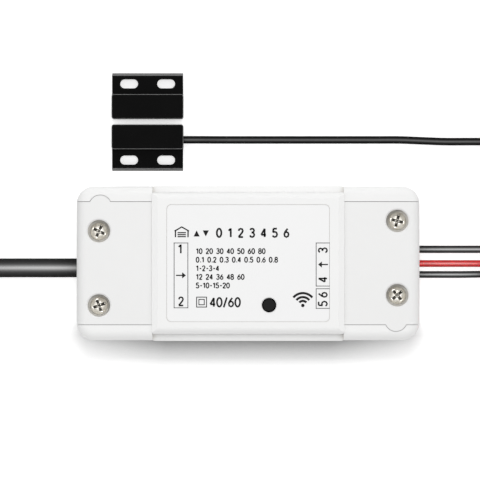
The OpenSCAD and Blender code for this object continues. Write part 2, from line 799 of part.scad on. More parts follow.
// Cover over one end's terminals, drawn at the output end; its children are cut out of it
module terminal_cover() difference() {
    union() {
        intersection() {
            envelope();
            union() {
                translate([saddle_l / 2 + seam, -cover_w / 2, plate_z])
                    cube([end_x, cover_w, plate_t]);
                translate([end_x - cover_wall, -cover_w / 2, cable_z + seam])
                    cube([2 * cover_wall, cover_w, end_h - cable_z]);
                translate([tab_x, -tab_y, plate_z]) cylinder(r = tab_r, h = plate_t, $fn = 64);
            }
        }
        for (p = cover_screw_places) if (p.x > 0) translate([p.x, p.y, post_top])
            cylinder(d = cup_d, h = plate_z - post_top + plate_t / 2, $fn = 48);
        translate([end_x - rib_in - rib_t / 2, rib_shift - rib_w / 2, cable_z + seam])
            cube([rib_t, rib_w, plate_z - cable_z]);
    }
    for (p = cover_screw_places) if (p.x > 0) translate([p.x, p.y, end_h]) {
        translate([0, 0, -recess_h]) cylinder(d = recess_d, h = 2 * recess_h, $fn = 48);
        translate([0, 0, -2 * recess_h]) cylinder(d = screw_d + 2 * fit, h = 2 * recess_h, $fn = 32);
        translate([0, 0, -recess_bevel])
            cylinder(d1 = recess_d, d2 = recess_d + 4 * recess_bevel, h = 2 * recess_bevel, $fn = 48);
    }
    children();
}

module input_cover() color("white") rotate(180) terminal_cover() rotate(180) input_bores();

module output_cover() color("white") terminal_cover() output_bores();

module cover_screws() color("silver")
    for (i = [0 : len(cover_screw_places) - 1])
        translate([cover_screw_places[i].x, cover_screw_places[i].y, end_h - recess_h])
            rotate(screw_turns[i]) pan_screw(screw_d, screw_l, head_d, head_h);

// Electronics

module circuit_board() color("darkgreen") translate([0, 0, board_z])
    linear_extrude(board_t) difference() {
        plan(board_l, board_w, 1);
        for (s = [-1, 1]) translate(s * board_post)
            circle(d = board_screw_d + 2 * fit, $fn = 32);
    }

module board_screws() color("silver") for (s = [-1, 1])
    translate([s * board_post.x, s * board_post.y, board_top])
        pan_screw(board_screw_d, board_screw_l, 1.8 * board_screw_d, board_screw_head);

// Two-way block with its wire entries on +X, standing at z = 0
module terminal_block(pitch) {
    shoulder = 0.62 * term_h;
    difference() {
        rotate([90, 0, 0]) linear_extrude(2 * pitch, center = true) polygon([
            [0, 0], [0, shoulder], [-term_d / 6, term_h], [-term_d + 1, term_h],
            [-term_d, term_h - 1.5], [-term_d, 0]
        ]);
        for (k = [-1, 1]) translate([0, k * pitch / 2, 0]) {
            rod([-entry_depth, 0, entry_z], entry_d, 2 * entry_depth);
            translate([-term_d / 2, 0, term_h - term_screw_sink])
                cylinder(d = term_screw_d + 2 * fit, h = term_h, $fn = 32);
        }
    }
}

module input_terminal() color("seagreen")
    translate([-term_face, mains_y, board_top]) rotate(180) terminal_block(input_pitch);

module output_terminal() color("seagreen")
    translate([term_face, -output_pitch, board_top]) terminal_block(output_pitch);

module sensor_terminal() color("seagreen")
    translate([term_face, output_pitch, board_top]) terminal_block(output_pitch);

module terminal_screws() color("silver") {
    x = term_face - term_d / 2;
    places = concat([for (y = output_ways) [x, y]], [for (y = input_ways) [-x, y]]);
    for (p = places) translate([p.x, p.y, board_top + term_h - term_screw_sink]) difference() {
        cylinder(d = term_screw_d, h = term_screw_h, $fn = 32);
        translate([-term_screw_d, -0.2, 0.6 * term_screw_h]) cube([2 * term_screw_d, 0.4, term_screw_h]);
    }
}

module relay() color("royalblue")
    translate([relay_x + relay_b / 2, relay_y + relay_l / 2, board_top])
        rounded_block(relay_b, relay_l, relay_h, 0.8, 0.6, 0.2);

// Ferrite frame with a middle leg through the bobbin
module transformer_core() color("dimgray")
    translate([core_x, core_t / 2, board_top]) rotate([90, 0, 0]) linear_extrude(core_t) difference() {
        square(core_b);
        for (x = [core_leg, core_b / 2 + core_leg / 2]) translate([x, core_leg])
            square([core_b / 2 - 1.5 * core_leg, core_b - 2 * core_leg]);
    }

module transformer_bobbin() color("khaki")
    translate([core_x + core_b / 2, 0, board_top + core_leg]) {
        side = core_b / 2 - core_leg - fit;
        h = core_b - 2 * core_leg;
        cheek = 1;
        difference() {
            union() {
                for (z = [0, h - cheek]) translate([-side, -bobbin_w / 2, z])
                    cube([2 * side, bobbin_w, cheek]);
                translate([-side + 0.4, -bobbin_w / 2 + 0.6, 0]) cube([2 * side - 0.8, bobbin_w - 1.2, h]);
            }
            translate([-core_leg / 2 - fit, -core_t / 2 - fit, -1])
                cube([core_leg + 2 * fit, core_t + 2 * fit, h + 2]);
        }
    }

// Can with a crimped groove near its foot
module can_capacitor(d, h) rotate_extrude($fn = 48) difference() {
    edge_profile(d / 2, h, 0.5, 0.4);
    translate([d / 2 + 0.25, 1.8]) circle(0.55, $fn = 24);
}

module input_capacitor() color("black")
    translate([cap_in_x, part_edge - cap_in_b / 2, board_top]) can_capacitor(cap_in_b, cap_in_h);

module output_capacitor() color("black")
    translate([cap_out_x, part_edge - cap_out_b / 2, board_top]) can_capacitor(cap_out_b, cap_out_h);

module fuse_resistor() color("darkseagreen")
    translate([core_x + leg_out, fuse_y, board_top]) {
        axis_z = fuse_d / 2 + leg_d / 2;
        rod([0, 0, axis_z], fuse_d, fuse_l);
        for (x = [-leg_out, fuse_l + leg_out]) translate([x, 0, 0])
            cylinder(d = leg_d, h = axis_z + leg_d / 2, $fn = 16);
        rod([-leg_out, 0, axis_z], leg_d, fuse_l + 2 * leg_out);
    }

module varistor() color("royalblue")
    translate([varistor_x, part_edge - varistor_d / 2, board_top]) {
        stand = 1.2;
        leg_pitch = [1.2, 3.4];
        translate([0, 0, varistor_d / 2 + stand]) rotate([0, -90, 0]) translate([0, 0, -varistor_t / 2])
            rotate_extrude($fn = 48) edge_profile(varistor_d / 2, varistor_t, 1, 1);
        for (s = [-1, 1]) translate(s * leg_pitch / 2)
            cylinder(d = leg_d, h = varistor_d / 2, $fn = 16);
    }

module choke() color("dimgray") translate([choke_x, choke_y, board_top])
    rotate_extrude($fn = 48) difference() {
        square([choke_b / 2, choke_h]);
        translate([choke_b / 2 - 0.7, 1.2]) square([2, choke_h - 2.4]);
    }

module rectifier() color("black") translate([core_x - rectifier_w / 2, rectifier_y, board_top]) {
    translate([0, 0, 1.3]) cube([rectifier_w, rectifier_w, 2.2], center = true);
    for (y = [-1.3, 1.3]) translate([0, y, 0.15]) cube([rectifier_w + 1.6, 0.8, 0.3], center = true);
}

module radio_module() color("midnightblue") translate([radio_x, radio_y, board_top])
    cube([radio_b, radio_w, radio_t]);

module radio_shield() color("silver") {
    l = radio_b - antenna_l - shield_in;
    translate([radio_x + antenna_l + l / 2, radio_y + radio_w / 2, board_top + radio_t])
        rounded_block(l, radio_w - 2 * shield_in, shield_h, 0.6, 0.3, 0.1);
}

module status_led() color("lightcyan")
    translate([button_x, button_y + switch_w / 2 + 2 * part_gap, board_top]) linear_extrude(0.7)
        square([1.6, 0.8], center = true);

// Push switch: a square body, a snap dome and a long plunger through the cover

module switch_body() color("dimgray") translate([button_x, button_y, board_top]) difference() {
    linear_extrude(switch_h) plan(switch_w, switch_w, 0.4);
    translate([0, 0, switch_floor])
        cylinder(d = switch_bore, h = switch_h - switch_floor - switch_roof, $fn = 48);
    cylinder(d = button_d + 2 * running, h = 2 * switch_h, $fn = 48);
    translate([0, 0, -switch_floor]) cylinder(d = nub_d, h = 2 * switch_floor, $fn = 32);
}

// Shallow dished disc
module dome_profile(h, t) {
    round_r = (dome_d * dome_d / 4 + h * h) / (2 * h);
    intersection() {
        square([dome_d / 2, h]);
        translate([0, h - round_r]) difference() {
            circle(round_r, $fn = 128);
            circle(round_r - t, $fn = 128);
        }
    }
}

module switch_dome() color("goldenrod") translate([button_x, button_y, board_top + switch_floor])
    rotate_extrude($fn = 48) dome_profile(dome_h, dome_t);

module button_plunger() color("black") translate([button_x, button_y, 0]) {
    seat = board_top + switch_h - switch_roof - flange_play - flange_h;
    translate([0, 0, seat]) rotate_extrude($fn = 48)
        edge_profile(button_d / 2, body_h + button_rise - seat, 0.25, 0.05);
    translate([0, 0, seat]) cylinder(d = flange_d, h = flange_h, $fn = 48);
    translate([0, 0, seat - nub_h]) cylinder(d = nub_d, h = 2 * nub_h, $fn = 32);
}

module live_core() color("saddlebrown") {
    y = input_ways[1];
    z = board_top + entry_z;
    tube([
        [-jacket_x, mains_y + 1.1, cable_z], [1 - jacket_x, mains_y + 1.1, cable_z],
        [core_bend - jacket_x, y - 0.5, z - 0.6], [-term_face, y, z], [entry_reach - term_face, y, z]
    ], core_d, 8);
}

module neutral_core() color("steelblue") {
    y = input_ways[0];
    z = board_top + entry_z;
    tube([
        [-jacket_x, mains_y - 1.1, cable_z], [1 - jacket_x, mains_y - 1.1, cable_z],
        [core_bend - jacket_x, y + 0.5, z - 0.6], [-term_face, y, z], [entry_reach - term_face, y, z]
    ], core_d, 8);
}

module sensor_cores() color("dimgray") {
    z = board_top + entry_z;
    for (k = [-1, 1]) {
        y = output_ways[k < 0 ? 2 : 3];
        tube([
            [jacket_x, sensor_cable_y + 0.45 * k, cable_z],
            [jacket_x - 1, sensor_cable_y + 0.45 * k, cable_z],
            [jacket_x - core_bend, y - 0.3 * k, z - 0.6],
            [term_face, y, z], [term_face - entry_reach, y, z]
        ], sensor_core_d, 8);
    }
}

// Door sensor

// Slot through the flange
module slot_cut() linear_extrude(4 * flange_t, center = true) {
    square([slot_l - slot_w, slot_w], center = true);
    for (s = [-1, 1]) translate([s * (slot_l - slot_w) / 2, 0]) circle(d = slot_w, $fn = 48);
}

// Housing with its flange's outer edge on y = 0 and its raised block on +Y, open underneath
module sensor_shell() difference() {
    union() {
        rotate([90, 0, 90]) linear_extrude(sensor_l, center = true) polygon([
            [0, 0], [flange_w + sensor_wall / 2, 0], [flange_w + sensor_wall / 2, flange_t],
            [flange_bevel, flange_t], [0, flange_foot]
        ]);
        translate([0, flange_w + block_w / 2, 0])
            rounded_block(sensor_l + 2 * block_over, block_w, block_h, 0.6, 0.35, 0.1);
    }
    for (s = [-1, 1]) translate([s * slot_pitch / 2, flange_w / 2, 0]) slot_cut();
    translate([-cavity_l / 2, flange_w + sensor_wall, -1]) cube([cavity_l, cavity_w, cavity_h + 1]);
}

// Resin that fills the housing from underneath
module sensor_fill() translate([-cavity_l / 2, flange_w + sensor_wall, pot_sink])
    cube([cavity_l, cavity_w, cavity_h - pot_sink]);

module at_reed() translate([sensor_x, sensor_y, 0]) children();

module at_magnet() translate([sensor_x, magnet_y, 0]) mirror([0, 1, 0]) children();

// Middle of the reed capsule in its housing
reed_place = [0, flange_w + block_w / 2, reed_z];

module reed_housing() color("black") difference() {
    at_reed() sensor_shell();
    rod([sensor_x + cavity_l / 2 - 0.5, lead_y, lead_z], sensor_cable_d + 2 * grip, 2 * sensor_wall + 1);
}

module reed_potting() color("dimgray") at_reed() difference() {
    sensor_fill();
    rod(reed_place - [reed_l / 2, 0, 0], reed_d, reed_l);
}

module reed_capsule() color("lightblue") at_reed() difference() {
    rod(reed_place - [reed_l / 2, 0, 0], reed_d, reed_l);
    rod(reed_place - [reed_l, 0, 0], reed_bore, 2 * reed_l);
}

module reed_blades() color("gold") at_reed() translate(reed_place) for (s = [0, 180]) rotate([s, 0, s])
    translate([-blade_lap / 2, -blade_w / 2, blade_gap / 2]) cube([blade_l, blade_w, blade_t]);

module magnet_housing() color("black") at_magnet() sensor_shell();

// Bar magnet in the middle of its housing
module magnet_block() translate([-magnet_l / 2, flange_w + block_w / 2 - magnet_w / 2, cavity_h - magnet_h])
    cube([magnet_l, magnet_w, magnet_h]);

module magnet_potting() color("dimgray") at_magnet() difference() {
    sensor_fill();
    magnet_block();
}

module magnet_bar() color("silver") at_magnet() magnet_block();

// Mains lead and its plug

module mains_lead() color("black") tube(mains_route, mains_d, 10);

module mains_coil() color("black") coil("mains_coil", mains_coil_route, mains_d);

module mains_tie() color("dimgray") tie(mains_coil_route, mains_d, mains_centre, 45);

module mains_tail() color("black") tube(tail_route, mains_d, 10);

// Flat two-pin body with bevelled sides, its pins' face on -Y
module plug_body() color("black") translate([plug_x, plug_y, plug_z]) intersection() {
    rotate([90, 0, 0]) linear_extrude(plug_l) polygon([
        [-plug_w / 2, plug_bevel - plug_t / 2], [plug_bevel - plug_w / 2, -plug_t / 2],
        [plug_w / 2 - plug_bevel, -plug_t / 2], [plug_w / 2, plug_bevel - plug_t / 2],
        [plug_w / 2, plug_t / 2 - plug_bevel], [plug_w / 2 - plug_bevel, plug_t / 2],
        [plug_bevel - plug_w / 2, plug_t / 2], [-plug_w / 2, plug_t / 2 - plug_bevel]
    ]);
    linear_extrude(plug_t, center = true) polygon([
        [-plug_rear_w / 2, 0], [plug_rear_w / 2, 0], [plug_w / 2, -plug_taper_l],
        [plug_w / 2, -plug_l], [-plug_w / 2, -plug_l], [-plug_w / 2, -plug_taper_l]
    ]);
}

module plug_relief() color("black") translate([plug_x, plug_y, plug_z]) rotate([-90, 0, 0])
    cylinder(d1 = relief_d, d2 = relief_tip_d, h = relief_l, $fn = 48);

// Places of the two pins on the plug's face, with +Z along the pin
module at_pins() for (s = [-1, 1])
    translate([plug_x + s * pin_pitch / 2, plug_y - plug_l, plug_z]) rotate([90, 0, 0]) children();

module plug_sleeves() color("black") at_pins() difference() {
    cylinder(d = sleeve_d, h = sleeve_l, $fn = 48);
    translate([0, 0, -1]) cylinder(d = pin_core_d + 2 * sleeve_play, h = sleeve_l + 2, $fn = 48);
}

module plug_pins() color("silver") at_pins() {
    cylinder(d = pin_core_d, h = sleeve_l, $fn = 48);
    translate([0, 0, sleeve_l]) rotate_extrude($fn = 48)
        edge_profile(pin_d / 2, pin_l - sleeve_l, 1, 0.1);
}

// Sensor cable

module sensor_lead() color("black") tube(sensor_route, sensor_cable_d, 8);

module sensor_coil() color("black") coil("sensor_coil", sensor_coil_route, sensor_cable_d);

module sensor_tie() color("dimgray")
    tie(sensor_coil_route, sensor_cable_d, sensor_centre, 0);

module sensor_return() color("black") tube(return_route, sensor_cable_d, 8);

// Switch leads, wound side by side

module red_wire() color("red") tube(red_route, wire_d, 8);

module black_wire() color("black") tube(black_route, wire_d, 8);

module red_coil() color("red") coil("red_coil", red_coil_route, wire_d);

module black_coil() color("black") coil("black_coil", black_coil_route, wire_d);

// Stripped end of a switch lead, past the end of its coil
module tip(route) translate(route[len(route) - 1]) mirror([1, 0, 0]) rod([0, 0, 0], tip_d, tip_l);

module red_tip() color("silver") tip(red_coil_route);

module black_tip() color("silver") tip(black_coil_route);

module wire_tie() color("dimgray")
    tie(concat(red_coil_route, black_coil_route), wire_d, wire_centre, 0);

base_shell();
top_cover();
face_label();
input_cover();
output_cover();
cover_screws();
circuit_board();
board_screws();
input_terminal();
output_terminal();
sensor_terminal();
terminal_screws();
relay();
transformer_core();
transformer_bobbin();
input_capacitor();
output_capacitor();
fuse_resistor();
varistor();
choke();
rectifier();
radio_module();
radio_shield();
status_led();
switch_body();
switch_dome();
button_plunger();
live_core();
neutral_core();
sensor_cores();
reed_housing();
reed_potting();
reed_capsule();
reed_blades();
magnet_housing();
magnet_potting();
magnet_bar();
mains_lead();
mains_coil();
mains_tie();
mains_tail();
plug_body();
plug_relief();
plug_sleeves();
plug_pins();
sensor_lead();
sensor_coil();
sensor_tie();
sensor_return();
red_wire();
red_coil();
red_tip();
black_wire();
black_coil();
black_tip();
wire_tie();
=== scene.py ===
"""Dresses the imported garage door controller: camera, light, leads and finishes.

Lengths are in metres, in the frame of the CAD model: the box lies on its back with the origin
under its middle, +X towards its output end and +Z up through its button. Only the routes of the
leads and the print on the panel are written in millimetres.
"""

import logging
import math
from collections.abc import Iterable, Iterator, Sequence
from dataclasses import dataclass, field
from enum import Enum
from typing import Any, Union

import bmesh
import bpy
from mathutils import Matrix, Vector


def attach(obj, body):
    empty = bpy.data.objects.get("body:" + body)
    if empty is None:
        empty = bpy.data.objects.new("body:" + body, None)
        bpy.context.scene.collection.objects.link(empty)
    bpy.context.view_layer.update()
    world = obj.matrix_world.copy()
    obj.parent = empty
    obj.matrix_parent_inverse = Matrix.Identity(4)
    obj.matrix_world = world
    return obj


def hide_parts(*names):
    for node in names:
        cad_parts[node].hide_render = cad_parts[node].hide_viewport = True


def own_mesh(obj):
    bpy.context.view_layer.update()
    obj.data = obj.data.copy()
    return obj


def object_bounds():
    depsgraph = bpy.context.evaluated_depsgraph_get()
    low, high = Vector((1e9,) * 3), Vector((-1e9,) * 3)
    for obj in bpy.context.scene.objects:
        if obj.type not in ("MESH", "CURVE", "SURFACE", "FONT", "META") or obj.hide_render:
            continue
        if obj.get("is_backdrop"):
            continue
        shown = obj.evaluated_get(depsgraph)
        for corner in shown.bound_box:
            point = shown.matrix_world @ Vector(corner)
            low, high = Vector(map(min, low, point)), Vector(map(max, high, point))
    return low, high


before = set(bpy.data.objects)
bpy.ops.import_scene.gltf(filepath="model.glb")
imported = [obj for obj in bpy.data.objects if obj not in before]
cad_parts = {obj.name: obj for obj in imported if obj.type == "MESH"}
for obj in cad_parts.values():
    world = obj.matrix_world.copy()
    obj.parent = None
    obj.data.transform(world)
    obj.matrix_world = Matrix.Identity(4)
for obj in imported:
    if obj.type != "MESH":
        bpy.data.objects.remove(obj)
CAD_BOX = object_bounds()

LOG = logging.getLogger("controller")
MM = 0.001
BODY = "controller"
AO_SAMPLES = 8
NOISE_MEAN = 0.5

Colour = tuple[float, float, float]
Point = tuple[float, float, float]
Flat = tuple[float, float]
Shapes = Iterator[list[Flat]]
Pieces = Iterator[bpy.types.Object]


class Value:
    """A shader socket that takes part in Python arithmetic."""

    def __init__(self, graph: "Graph", socket: bpy.types.NodeSocket) -> None:
        """Keeps the socket and the graph that new nodes go to."""
        self.graph = graph
        self.socket = socket

    def _math(self, operation: str, first: "Operand", second: "Operand") -> "Value":
        """Adds one Math node."""
        return self.graph.add("ShaderNodeMath", {"operation": operation}, {0: first, 1: second})

    def __add__(self, other: "Operand") -> "Value":
        """Sum."""
        return self._math("ADD", self, other)

    __radd__ = __add__

    def __sub__(self, other: "Operand") -> "Value":
        """Difference."""
        return self._math("SUBTRACT", self, other)

    def __rsub__(self, other: "Operand") -> "Value":
        """Difference from a number on the left."""
        return self._math("SUBTRACT", other, self)

    def __mul__(self, other: "Operand") -> "Value":
        """Product."""
        return self._math("MULTIPLY", self, other)

    __rmul__ = __mul__

    def __truediv__(self, other: "Operand") -> "Value":
        """Quotient."""
        return self._math("DIVIDE", self, other)

    def sway(self, amount: float) -> "Value":
        """Noise as a change of the given amount about nothing."""
        return (self - NOISE_MEAN) * amount

    def above(self, edge: float, blur: float) -> "Value":
        """Mask that goes from 0 to 1 over the given blur, centred on the edge.

        Args:
            edge: Value at which the mask is a half.
            blur: Width of the change.

        Returns:
            The mask, held between 0 and 1.
        """
        slope = (self - (edge - blur / 2)) / blur
        return self.graph.add("ShaderNodeClamp", {}, {"Value": slope})


Operand = Union[Value, float]


class Graph:
    """The node tree of one material or of the world."""

    def __init__(self, tree: bpy.types.NodeTree) -> None:
        """Empties the tree."""
        self.tree = tree
        tree.nodes.clear()

    def add(self, kind: str, settings: dict[str, Any], sockets: dict[Any, Any], out: Any = 0) -> Value:
        """Adds one node.

        Args:
            kind: Blender's name of the node's type.
            settings: Properties of the node.
            sockets: Numbers, colours or values for its inputs, by name or number.
            out: Name or number of the output that is wanted.

        Returns:
            That output.
        """
        node = self.tree.nodes.new(kind)
        for name, value in settings.items():
            setattr(node, name, value)
        for key, value in sockets.items():
            socket = node.inputs[key]
            if isinstance(value, Value):
                self.tree.links.new(value.socket, socket)
            elif socket.type == "RGBA":
                socket.default_value = (*value[:3], 1.0)
            else:
                socket.default_value = value
        return Value(self, node.outputs[out] if len(node.outputs) else None)

    def place(self) -> Value:
        """Place on the object, in metres."""
        return self.add("ShaderNodeTexCoord", {}, {}, "Object")

    def along(self, axis: str) -> Value:
        """Place along one axis of the object, in metres."""
        return self.add("ShaderNodeSeparateXYZ", {}, {0: self.place()}, axis)

    def noise(self, size: float, detail: float = 2.0, stretch: Point = (1.0, 1.0, 1.0)) -> Value:
        """Even noise between about 0.2 and 0.8.

        Args:
            size: Size of its features in metres.
            detail: Number of finer octaves.
            stretch: How many times finer it is along each axis.

        Returns:
            The noise.
        """
        scaled = self.add("ShaderNodeVectorMath", {"operation": "MULTIPLY"}, {0: self.place(), 1: stretch})
        return self.add("ShaderNodeTexNoise", {}, {"Vector": scaled, "Scale": 1.0 / size, "Detail": detail})

    def rise(self) -> Value:
        """How far the surface faces up, from -1 to 1."""
        normal = self.add("ShaderNodeTexCoord", {}, {}, "Normal")
        up = (0.0, 0.0, 1.0)
        return self.add("ShaderNodeVectorMath", {"operation": "DOT_PRODUCT"}, {0: normal, 1: up}, "Value")

    def openness(self, reach: float, own: bool = True) -> Value:
        """How little stands over the surface within a reach.

        Args:
            reach: How far off it looks, in metres.
            own: Whether only its own piece counts.

        Returns:
            The open share, from 0 to 1.
        """
        settings = {"samples": AO_SAMPLES, "only_local": own}
        return self.add("ShaderNodeAmbientOcclusion", settings, {"Distance": reach}, "AO")

    def mix(self, mask: Operand, low: Any, high: Any) -> Value:
        """Colour that goes from low to high as the mask goes from 0 to 1."""
        return self.add("ShaderNodeMix", {"data_type": "RGBA"}, {0: mask, 6: low, 7: high}, 2)

    def tint(self, mask: Operand, colour: Colour, low: float, high: float) -> Value:
        """Colour whose brightness goes from one factor to another with the mask."""
        return self.mix(mask, shade(colour, low), shade(colour, high))

    def bump(self, height: Value, depth: float) -> Value:
        """Normal of a surface with the given relief of the given depth in metres."""
        return self.add("ShaderNodeBump", {}, {"Strength": 1.0, "Distance": depth, "Height": height})

    def surface(self, sockets: dict[str, Any]) -> Value:
        """Principled shader with the given sockets."""
        return self.add("ShaderNodeBsdfPrincipled", {}, sockets)

    def output(self, shader: Value, kind: str = "ShaderNodeOutputMaterial") -> None:
        """Ends the graph."""
        self.add(kind, {}, {"Surface": shader})


def shade(colour: Colour, factor: float) -> Colour:
    """Colour made lighter or darker by a factor."""
    return tuple(min(1.0, c * factor) for c in colour)


@dataclass(frozen=True)
class Finish:
    """One finish of the object: a colour and how it varies."""

    name: str
    colour: Colour
    roughness: float = 0.5

    def material(self) -> bpy.types.Material:
        """Returns the finish's material, made on first use."""
        title = f"{self.name}_finish"
        found = bpy.data.materials.get(title)
        if found is None:
            found = bpy.data.materials.new(title)
            found.use_nodes = True
            graph = Graph(found.node_tree)
            graph.output(graph.surface(self.sockets(graph)))
        return found

    def sockets(self, graph: Graph) -> dict[str, Any]:
        """Returns the shader's sockets."""
        raise NotImplementedError


@dataclass(frozen=True)
class MouldedPlastic(Finish):
    """Injection moulded plastic with a fine eroded grain and faint flow clouds."""

    grain: float = 0.18 * MM
    depth: float = 0.012 * MM
    cloud_size: float = 9 * MM
    clouding: float = 0.015
    specular: float = 0.4

    def sockets(self, graph: Graph) -> dict[str, Any]:
        """Returns the shader's sockets."""
        grain = graph.noise(self.grain, 3.0)
        cloud = graph.noise(self.cloud_size, 2.0)
        return {
            "Base Color": graph.tint(cloud, self.colour, 1 - self.clouding, 1 + self.clouding),
            "Roughness": self.roughness + grain.sway(0.16) + cloud.sway(0.1),
            "Specular IOR Level": self.specular,
            "Normal": graph.bump(grain, self.depth),
        }


@dataclass(frozen=True)
class ShellPlastic(MouldedPlastic):
    """Moulded plastic with painted shade, a warm grey, at the bottom of its recesses."""

    # Painted shade in recesses: its colour, reach, edge, blur and share.
    painted_shade: Colour = (0.5, 0.47, 0.41)
    painted_shade_reach: float = 2.4 * MM
    painted_shade_edge: float = 0.62
    painted_shade_blur: float = 0.4
    painted_shade_share: float = 0.6

    def sockets(self, graph: Graph) -> dict[str, Any]:
        """Returns the shader's sockets."""
        sockets = super().sockets(graph)
        # Painted shade: the piece's own recesses and hollows are darkened towards a warm grey.
        recess_shade = 1 - graph.openness(self.painted_shade_reach).above(self.painted_shade_edge, self.painted_shade_blur)
        sockets["Base Color"] = graph.mix(recess_shade * self.painted_shade_share, sockets["Base Color"], self.painted_shade)
        return sockets


@dataclass(frozen=True)
class SlopeSheenPlastic(MouldedPlastic):
    """Moulded plastic with a painted sheen, a paler grey in patches, on its slopes and broken edges."""

    # Painted sheen: the paler colour and how strongly it shows on slopes.
    painted_sheen: Colour = (0.2, 0.2, 0.2)
    rise_low: float = 0.2
    rise_high: float = 0.8
    rise_blur: float = 0.1
    patch_size: float = 0.9 * MM
    sheen_swing: float = 0.8
    sheen_least: float = 0.45

    def sockets(self, graph: Graph) -> dict[str, Any]:
        """Returns the shader's sockets."""
        sockets = super().sockets(graph)
        # Painted sheen: faces that lean between flat and upright are made paler, broken into patches.
        rise = graph.rise()
        slope = rise.above(self.rise_low, self.rise_blur) * (1 - rise.above(self.rise_high, self.rise_blur))
        patch = graph.noise(self.patch_size, 3.0)
        sheen_share = slope * (patch * self.sheen_swing + self.sheen_least)
        sockets["Base Color"] = graph.mix(sheen_share, sockets["Base Color"], self.painted_sheen)
        return sockets


@dataclass(frozen=True)
class CableJacket(Finish):
    """Extruded cable sheath: a soft sheen, slight waviness and a trace of dust."""

    gloss: float = 0.1
    dust: float = 0.12
    dust_colour: Colour = (0.2, 0.195, 0.185)
    relief: float = 0.02 * MM
    fine_size: float = 0.25 * MM
    wave_size: float = 2.5 * MM
    speck_size: float = 0.6 * MM
    speck_edge: float = 0.63
    speck_blur: float = 0.12

    def sockets(self, graph: Graph) -> dict[str, Any]:
        """Returns the shader's sockets."""
        fine = graph.noise(self.fine_size, 2.0)
        wave = graph.noise(self.wave_size, 2.0)
        specks = graph.noise(self.speck_size, 4.0).above(self.speck_edge, self.speck_blur)
        sheath = graph.tint(wave, self.colour, 0.92, 1.1)
        return {
            "Base Color": graph.mix(specks * self.dust, sheath, self.dust_colour),
            "Roughness": self.roughness + fine.sway(0.12) + specks * 0.15,
            "Specular IOR Level": 0.0,
            "Coat Weight": self.gloss,
            "Coat Roughness": self.roughness,
            "Normal": graph.bump(wave * 0.8 + fine * 0.2, self.relief),
        }


@dataclass(frozen=True)
class DullingJacket(CableJacket):
    """Cable sheath that loses its sheen towards the back."""

    dull_past: float = 28 * MM
    dull_blur: float = 4 * MM
    dull_share: float = 0.75

    def sockets(self, graph: Graph) -> dict[str, Any]:
        """Returns the shader's sockets."""
        sockets = super().sockets(graph)
        dull = graph.along("Y").above(self.dull_past, self.dull_blur)
        sockets["Coat Weight"] = self.gloss * (1 - dull * self.dull_share)
        return sockets


@dataclass(frozen=True)
class PlatedMetal(Finish):
    """Plated metal with fine turning marks, duller patches and painted shade, a dull near-black, in its
    corners and hollows.
    """

    tarnish: Colour = (0.4, 0.36, 0.3)
    marks: float = 0.12 * MM
    mark_depth: float = 0.001 * MM
    patch_size: float = 1.4 * MM
    patch_edge: float = 0.55
    patch_blur: float = 0.3
    patch_share: float = 0.5
    # Painted shade in corners and hollows: its colour, reach, edge and blur.
    hollow_shade: Colour = (0.05, 0.044, 0.034)
    hollow_shade_reach: float = 0.9 * MM
    hollow_shade_edge: float = 0.72
    hollow_shade_blur: float = 0.4

    def sockets(self, graph: Graph) -> dict[str, Any]:
        """Returns the shader's sockets."""
        marks = graph.noise(self.marks, 2.0)
        patch = graph.noise(self.patch_size, 3.0)
        # Painted shade: hollows turn near-black, rough and not metallic.
        hollow_shade_mask = 1 - graph.openness(self.hollow_shade_reach).above(self.hollow_shade_edge, self.hollow_shade_blur)
        dull = patch.above(self.patch_edge, self.patch_blur) * self.patch_share
        plate = graph.mix(dull, self.colour, self.tarnish)
        return {
            "Base Color": graph.mix(hollow_shade_mask, plate, self.hollow_shade),
            "Metallic": 1 - hollow_shade_mask,
            "Roughness": self.roughness + patch.sway(0.16) + marks.sway(0.08) + hollow_shade_mask * 0.5,
            "Normal": graph.bump(marks, self.mark_depth),
        }


@dataclass(frozen=True)
class PrintFilm(Finish):
    """Smooth printed film with a faint orange-peel relief."""

    peel_size: float = 0.7 * MM
    peel_depth: float = 0.004 * MM
    cloud_size: float = 14 * MM

    def sockets(self, graph: Graph) -> dict[str, Any]:
        """Returns the shader's sockets."""
        peel = graph.noise(self.peel_size, 2.0)
        cloud = graph.noise(self.cloud_size, 2.0)
        return {
            "Base Color": graph.tint(cloud, self.colour, 0.985, 1.01),
            "Roughness": self.roughness + peel.sway(0.1),
            "Specular IOR Level": 0.15,
            "Normal": graph.bump(peel, self.peel_depth),
        }


@dataclass(frozen=True)
class Ink(Finish):
    """Screen-printed ink, a little thin in places."""

    thin: Colour = (0.04, 0.04, 0.04)
    mesh_size: float = 0.12 * MM
    thin_edge: float = 0.62
    thin_blur: float = 0.2
    thin_share: float = 0.6

    def sockets(self, graph: Graph) -> dict[str, Any]:
        """Returns the shader's sockets."""
        mesh = graph.noise(self.mesh_size, 3.0)
        worn = mesh.above(self.thin_edge, self.thin_blur) * self.thin_share
        return {
            "Base Color": graph.mix(worn, self.colour, self.thin),
            "Roughness": self.roughness + mesh.sway(0.2),
            "Specular IOR Level": 0.1,
        }


